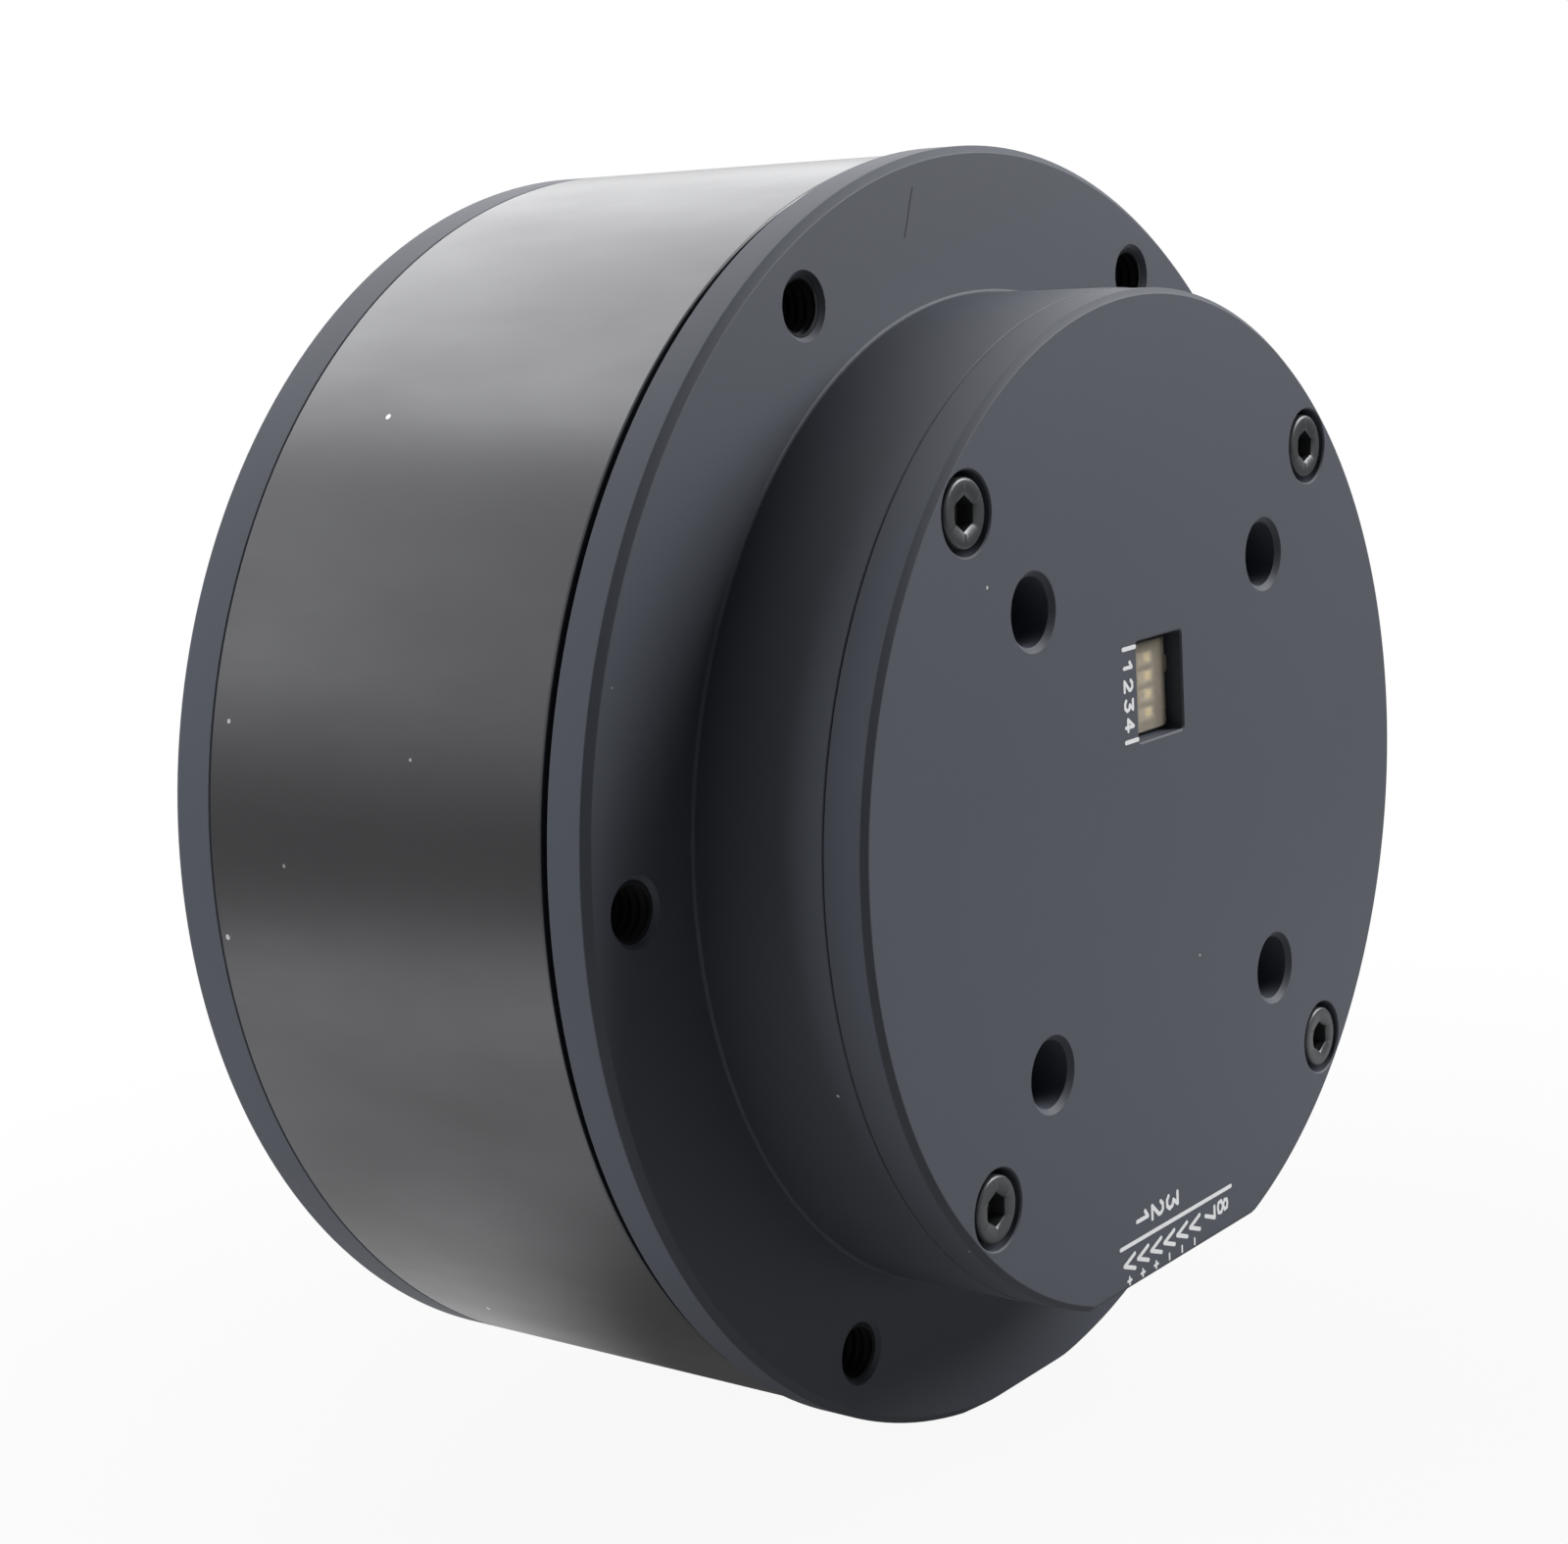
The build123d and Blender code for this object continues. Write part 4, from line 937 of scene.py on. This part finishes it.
def makeLegend():
    shells = strokeShells(legend["line"], legend["lineWidth"])
    for kinds, places, level, height, stroke, aspect in legend["rows"]:
        for kind, x in zip(kinds, places):
            shells += glyphShells(kind, (x, level), height, stroke, aspect)
    return makePiece("connectorLegend", shells)


connectorLegend = makeLegend()
dress(connectorLegend, legendWhite, "stator", "switch_body")


switchMarks = {"lineEnds": (-4.55, -3.0), "lineLevels": (11.26, 4.95), "lineWidth": 0.3,
               "numbers": (("1", 10.02), ("2", 8.74), ("3", 7.4), ("4", 6.1)),
               "across": -4.0, "height": 1.0, "stroke": 0.26, "aspect": 1.0}


def makeSwitchNumbers():
    m = switchMarks
    shells = []
    for z in m["lineLevels"]:
        shells += strokeShells([(x, z) for x in m["lineEnds"]], m["lineWidth"])
    for kind, z in m["numbers"]:
        shells += glyphShells(kind, (m["across"], z), m["height"], m["stroke"], m["aspect"])
    return makePiece("switchNumbers", shells)


switchNumbers = makeSwitchNumbers()
dress(switchNumbers, legendWhite, "stator", "switch_body")


scratch = {"line": [(-7.62, 42.34), (-7.95, 41.5), (-8.4, 40.2), (-8.81, 39.05)],
           "halfWidth": 0.045, "sunk": 0.01, "rise": 0.006}


# A hairline scratch on the flange's face beside its top.
def makeScratch():
    line = scratch["line"]
    half = scratch["halfWidth"]
    shells = []
    for (x1, z1), (x2, z2) in zip(line, line[1:]):
        length = math.hypot(x2 - x1, z2 - z1)
        sx, sz = (z2 - z1) / length * half, -(x2 - x1) / length * half
        outline = [(x1 + sx, z1 + sz), (x2 + sx, z2 + sz), (x2 - sx, z2 - sz), (x1 - sx, z1 - sz)]
        low = [(x, scratch["sunk"], z) for x, z in outline]
        top = [(x, -scratch["rise"], z) for x, z in outline]
        shells.append(([low, top], False))
    return makePiece("flangeScratch", shells)


flangeScratch = makeScratch()
dress(flangeScratch, threadBlack, "stator", "black_anodised")
print("printed marks made")

# The last four settings paint what the drum reflects. Near the object its glossy rays see less of the floor's
# white, partly the floor's real shadow and partly painted shade, with painted shade in front and a painted
# white card behind.
stage = {"radius": 170.0, "top": -45.1, "thickness": 2.0, "middle": (0, 12), "colour": (0.3, 0.3, 0.3),
         "shadowShare": 0.07, "shadowFade": (0.05, 0.14), "glossShadowAndPaintedShade": 0.66,
         "paintedFrontShade": 0.28, "paintedPatchFade": (0.04, 0.07), "paintedCardEdge": (0.022, 0.04)}


def makeFloor():
    rings = []
    for level in (stage["top"], stage["top"] - stage["thickness"]):
        ring = holeRing(stage["radius"], level, stage["middle"], 128)
        rings.append([(x, z, y) for x, y, z in ring])
    return makePiece("studioFloor", [(rings, False)])


def makeFloorMaterial():
    material = bpy.data.materials.new("studioFloorPaint")
    material.use_nodes = True
    tree = material.node_tree
    tree.nodes.remove(tree.nodes["Principled BSDF"])
    output = tree.nodes["Material Output"]
    matte = addNode(tree, "ShaderNodeBsdfDiffuse")
    matte.inputs["Color"].default_value = (*stage["colour"], 1)
    glow = addNode(tree, "ShaderNodeEmission")
    glow.inputs["Strength"].default_value = 1.0
    rays = addNode(tree, "ShaderNodeLightPath")
    place = addNode(tree, "ShaderNodeTexCoord")
    flatPlace = addNode(tree, "ShaderNodeVectorMath", operation="MULTIPLY")
    tree.links.new(place.outputs["Object"], flatPlace.inputs[0])
    flatPlace.inputs[1].default_value = (1, 1, 0)
    distance = addNode(tree, "ShaderNodeVectorMath", operation="LENGTH")
    tree.links.new(flatPlace.outputs[0], distance.inputs[0])
    near = rangeNode(tree, distance.outputs["Value"], *stage["shadowFade"], 1.0, 0.0)
    seen = mathNode(tree, "MAXIMUM", rays.outputs["Is Camera Ray"], rays.outputs["Is Transmission Ray"])
    white = mathNode(tree, "SUBTRACT", 1.0, mathNode(tree, "MULTIPLY", near, stage["shadowShare"]))
    sides = addNode(tree, "ShaderNodeSeparateXYZ")
    tree.links.new(place.outputs["Object"], sides.inputs[0])
    # painted reflection for glossy rays: painted shade on the floor in front of the drum's middle and a
    # painted white card behind it, which gives a painted highlight low on the drum
    paintedFrontAndCard = rangeNode(tree, sides.outputs[1], *stage["paintedCardEdge"], stage["paintedFrontShade"], -stage["glossShadowAndPaintedShade"])
    close = rangeNode(tree, distance.outputs["Value"], *stage["paintedPatchFade"], 1.0, 0.0)
    # painted shade in the drum's reflection near the object, partly the floor's real shadow
    dark = mathNode(tree, "ADD", mathNode(tree, "MULTIPLY", near, stage["glossShadowAndPaintedShade"]),
                    mathNode(tree, "MULTIPLY", close, paintedFrontAndCard))
    paintedGlossWhite = mathNode(tree, "SUBTRACT", 1.0, dark)
    share = mathNode(tree, "MAXIMUM", mathNode(tree, "MULTIPLY", seen, white),
                     mathNode(tree, "MULTIPLY", rays.outputs["Is Glossy Ray"], paintedGlossWhite))
    mix = addNode(tree, "ShaderNodeMixShader")
    tree.links.new(share, mix.inputs[0])
    tree.links.new(matte.outputs[0], mix.inputs[1])
    tree.links.new(glow.outputs[0], mix.inputs[2])
    tree.links.new(mix.outputs[0], output.inputs["Surface"])
    return material


studioFloor = makeFloor()
studioFloor.data.materials.append(makeFloorMaterial())

studio = {
    "levels": ((-1.0, 0.9), (-0.6, 0.66), (-0.3, 0.3), (-0.08, 0.22), (0.03, 0.22), (0.13, 0.68),
               (0.28, 1.0), (0.55, 0.8), (1.0, 0.5)),
    "depths": ((-1.0, 0.4), (-0.2, 0.5), (0.5, 0.36), (0.65, 0.45), (0.76, 1.0), (1.0, 1.0)),
    "glossGain": 1.35,
    "fillTurn": (-0.05, 0.1),  # the fill changes here from its rear to its front level
    "rearFill": 0.05,
    "frontFill": 0.6,
}


# A value that follows the given pairs of place and level, for places from -1 to 1.
def rampNode(tree, place, pairs):
    ramp = addNode(tree, "ShaderNodeValToRGB")
    tree.links.new(rangeNode(tree, place, -1.0, 1.0, 0.0, 1.0), ramp.inputs[0])
    stops = ramp.color_ramp.elements
    for index, (height, level) in enumerate(pairs):
        stop = stops[index] if index < 2 else stops.new((height + 1) / 2)
        stop.position = (height + 1) / 2
        stop.color = (level, level, level, 1)
    return ramp.outputs[0]


# A white tent with a dark band at the height of the horizon. The camera sees it as plain white.
def makeWorld():
    world = bpy.data.worlds.new("studioTent")
    bpy.context.scene.world = world
    world.use_nodes = True
    tree = world.node_tree
    background = tree.nodes["Background"]
    place = addNode(tree, "ShaderNodeTexCoord")
    parts = addNode(tree, "ShaderNodeSeparateXYZ")
    tree.links.new(place.outputs["Generated"], parts.inputs[0])
    height = rampNode(tree, parts.outputs[2], studio["levels"])
    depth = rampNode(tree, parts.outputs[1], studio["depths"])
    tent = mathNode(tree, "MULTIPLY", mathNode(tree, "MULTIPLY", height, depth), studio["glossGain"])
    rays = addNode(tree, "ShaderNodeLightPath")
    share = rangeNode(tree, parts.outputs[1], *studio["fillTurn"], studio["rearFill"], studio["frontFill"])
    dim = mathNode(tree, "MULTIPLY", height, share)
    glossy = addNode(tree, "ShaderNodeMix", data_type="FLOAT")
    tree.links.new(rays.outputs["Is Glossy Ray"], glossy.inputs[0])
    tree.links.new(dim, glossy.inputs[2])
    tree.links.new(tent, glossy.inputs[3])
    seen = mathNode(tree, "MAXIMUM", rays.outputs["Is Camera Ray"], rays.outputs["Is Transmission Ray"])
    level = addNode(tree, "ShaderNodeMix", data_type="FLOAT")
    tree.links.new(seen, level.inputs[0])
    tree.links.new(glossy.outputs[0], level.inputs[2])
    level.inputs[3].default_value = 1.0
    tree.links.new(level.outputs[0], background.inputs["Strength"])
    background.inputs["Color"].default_value = (1, 1, 1, 1)


makeWorld()

lamps = {
    "keyLamp": {"place": (0.46, -0.4, 0.38), "size": 0.42, "power": 6.6, "gloss": True},
    "topLamp": {"place": (0.2, 0.3, 0.46), "size": 0.8, "power": 3.4, "gloss": True},
    "sideLamp": {"place": (-0.36, 0.36, 0.1), "size": 0.2, "power": 2.0, "gloss": False},
}
lampAim = (0, 0.01, 0)
for name, lamp in lamps.items():
    light = bpy.data.lights.new(name, "AREA")
    light.shape = "SQUARE"
    light.size = lamp["size"]
    light.energy = lamp["power"]
    lampObject = bpy.data.objects.new(name, light)
    lampObject.visible_glossy = lamp["gloss"]  # the side lamp would show as a spot in the drum
    lampObject.location = lamp["place"]
    aim = Vector(lampAim) - Vector(lamp["place"])
    lampObject.rotation_euler = aim.to_track_quat("-Z", "Y").to_euler()
    bpy.context.scene.collection.objects.link(lampObject)

view = {"place": (-0.17264, -0.11453, 0.04029), "turn": (79.5374, 3.2809, -52.7627), "lens": 67.8505,
        "sensor": 36.0, "clipStart": 0.01, "clipEnd": 10.0}
cameraData = bpy.data.cameras.new("photoCamera")
cameraData.sensor_width = view["sensor"]
cameraData.lens = view["lens"]
cameraData.clip_start = view["clipStart"]
cameraData.clip_end = view["clipEnd"]
camera = bpy.data.objects.new("photoCamera", cameraData)
camera.location = view["place"]
camera.rotation_euler = Euler([math.radians(a) for a in view["turn"]], "XYZ")
bpy.context.scene.collection.objects.link(camera)
bpy.context.scene.camera = camera
bpy.context.scene.view_settings.view_transform = "Standard"
print("floor, light and camera set")
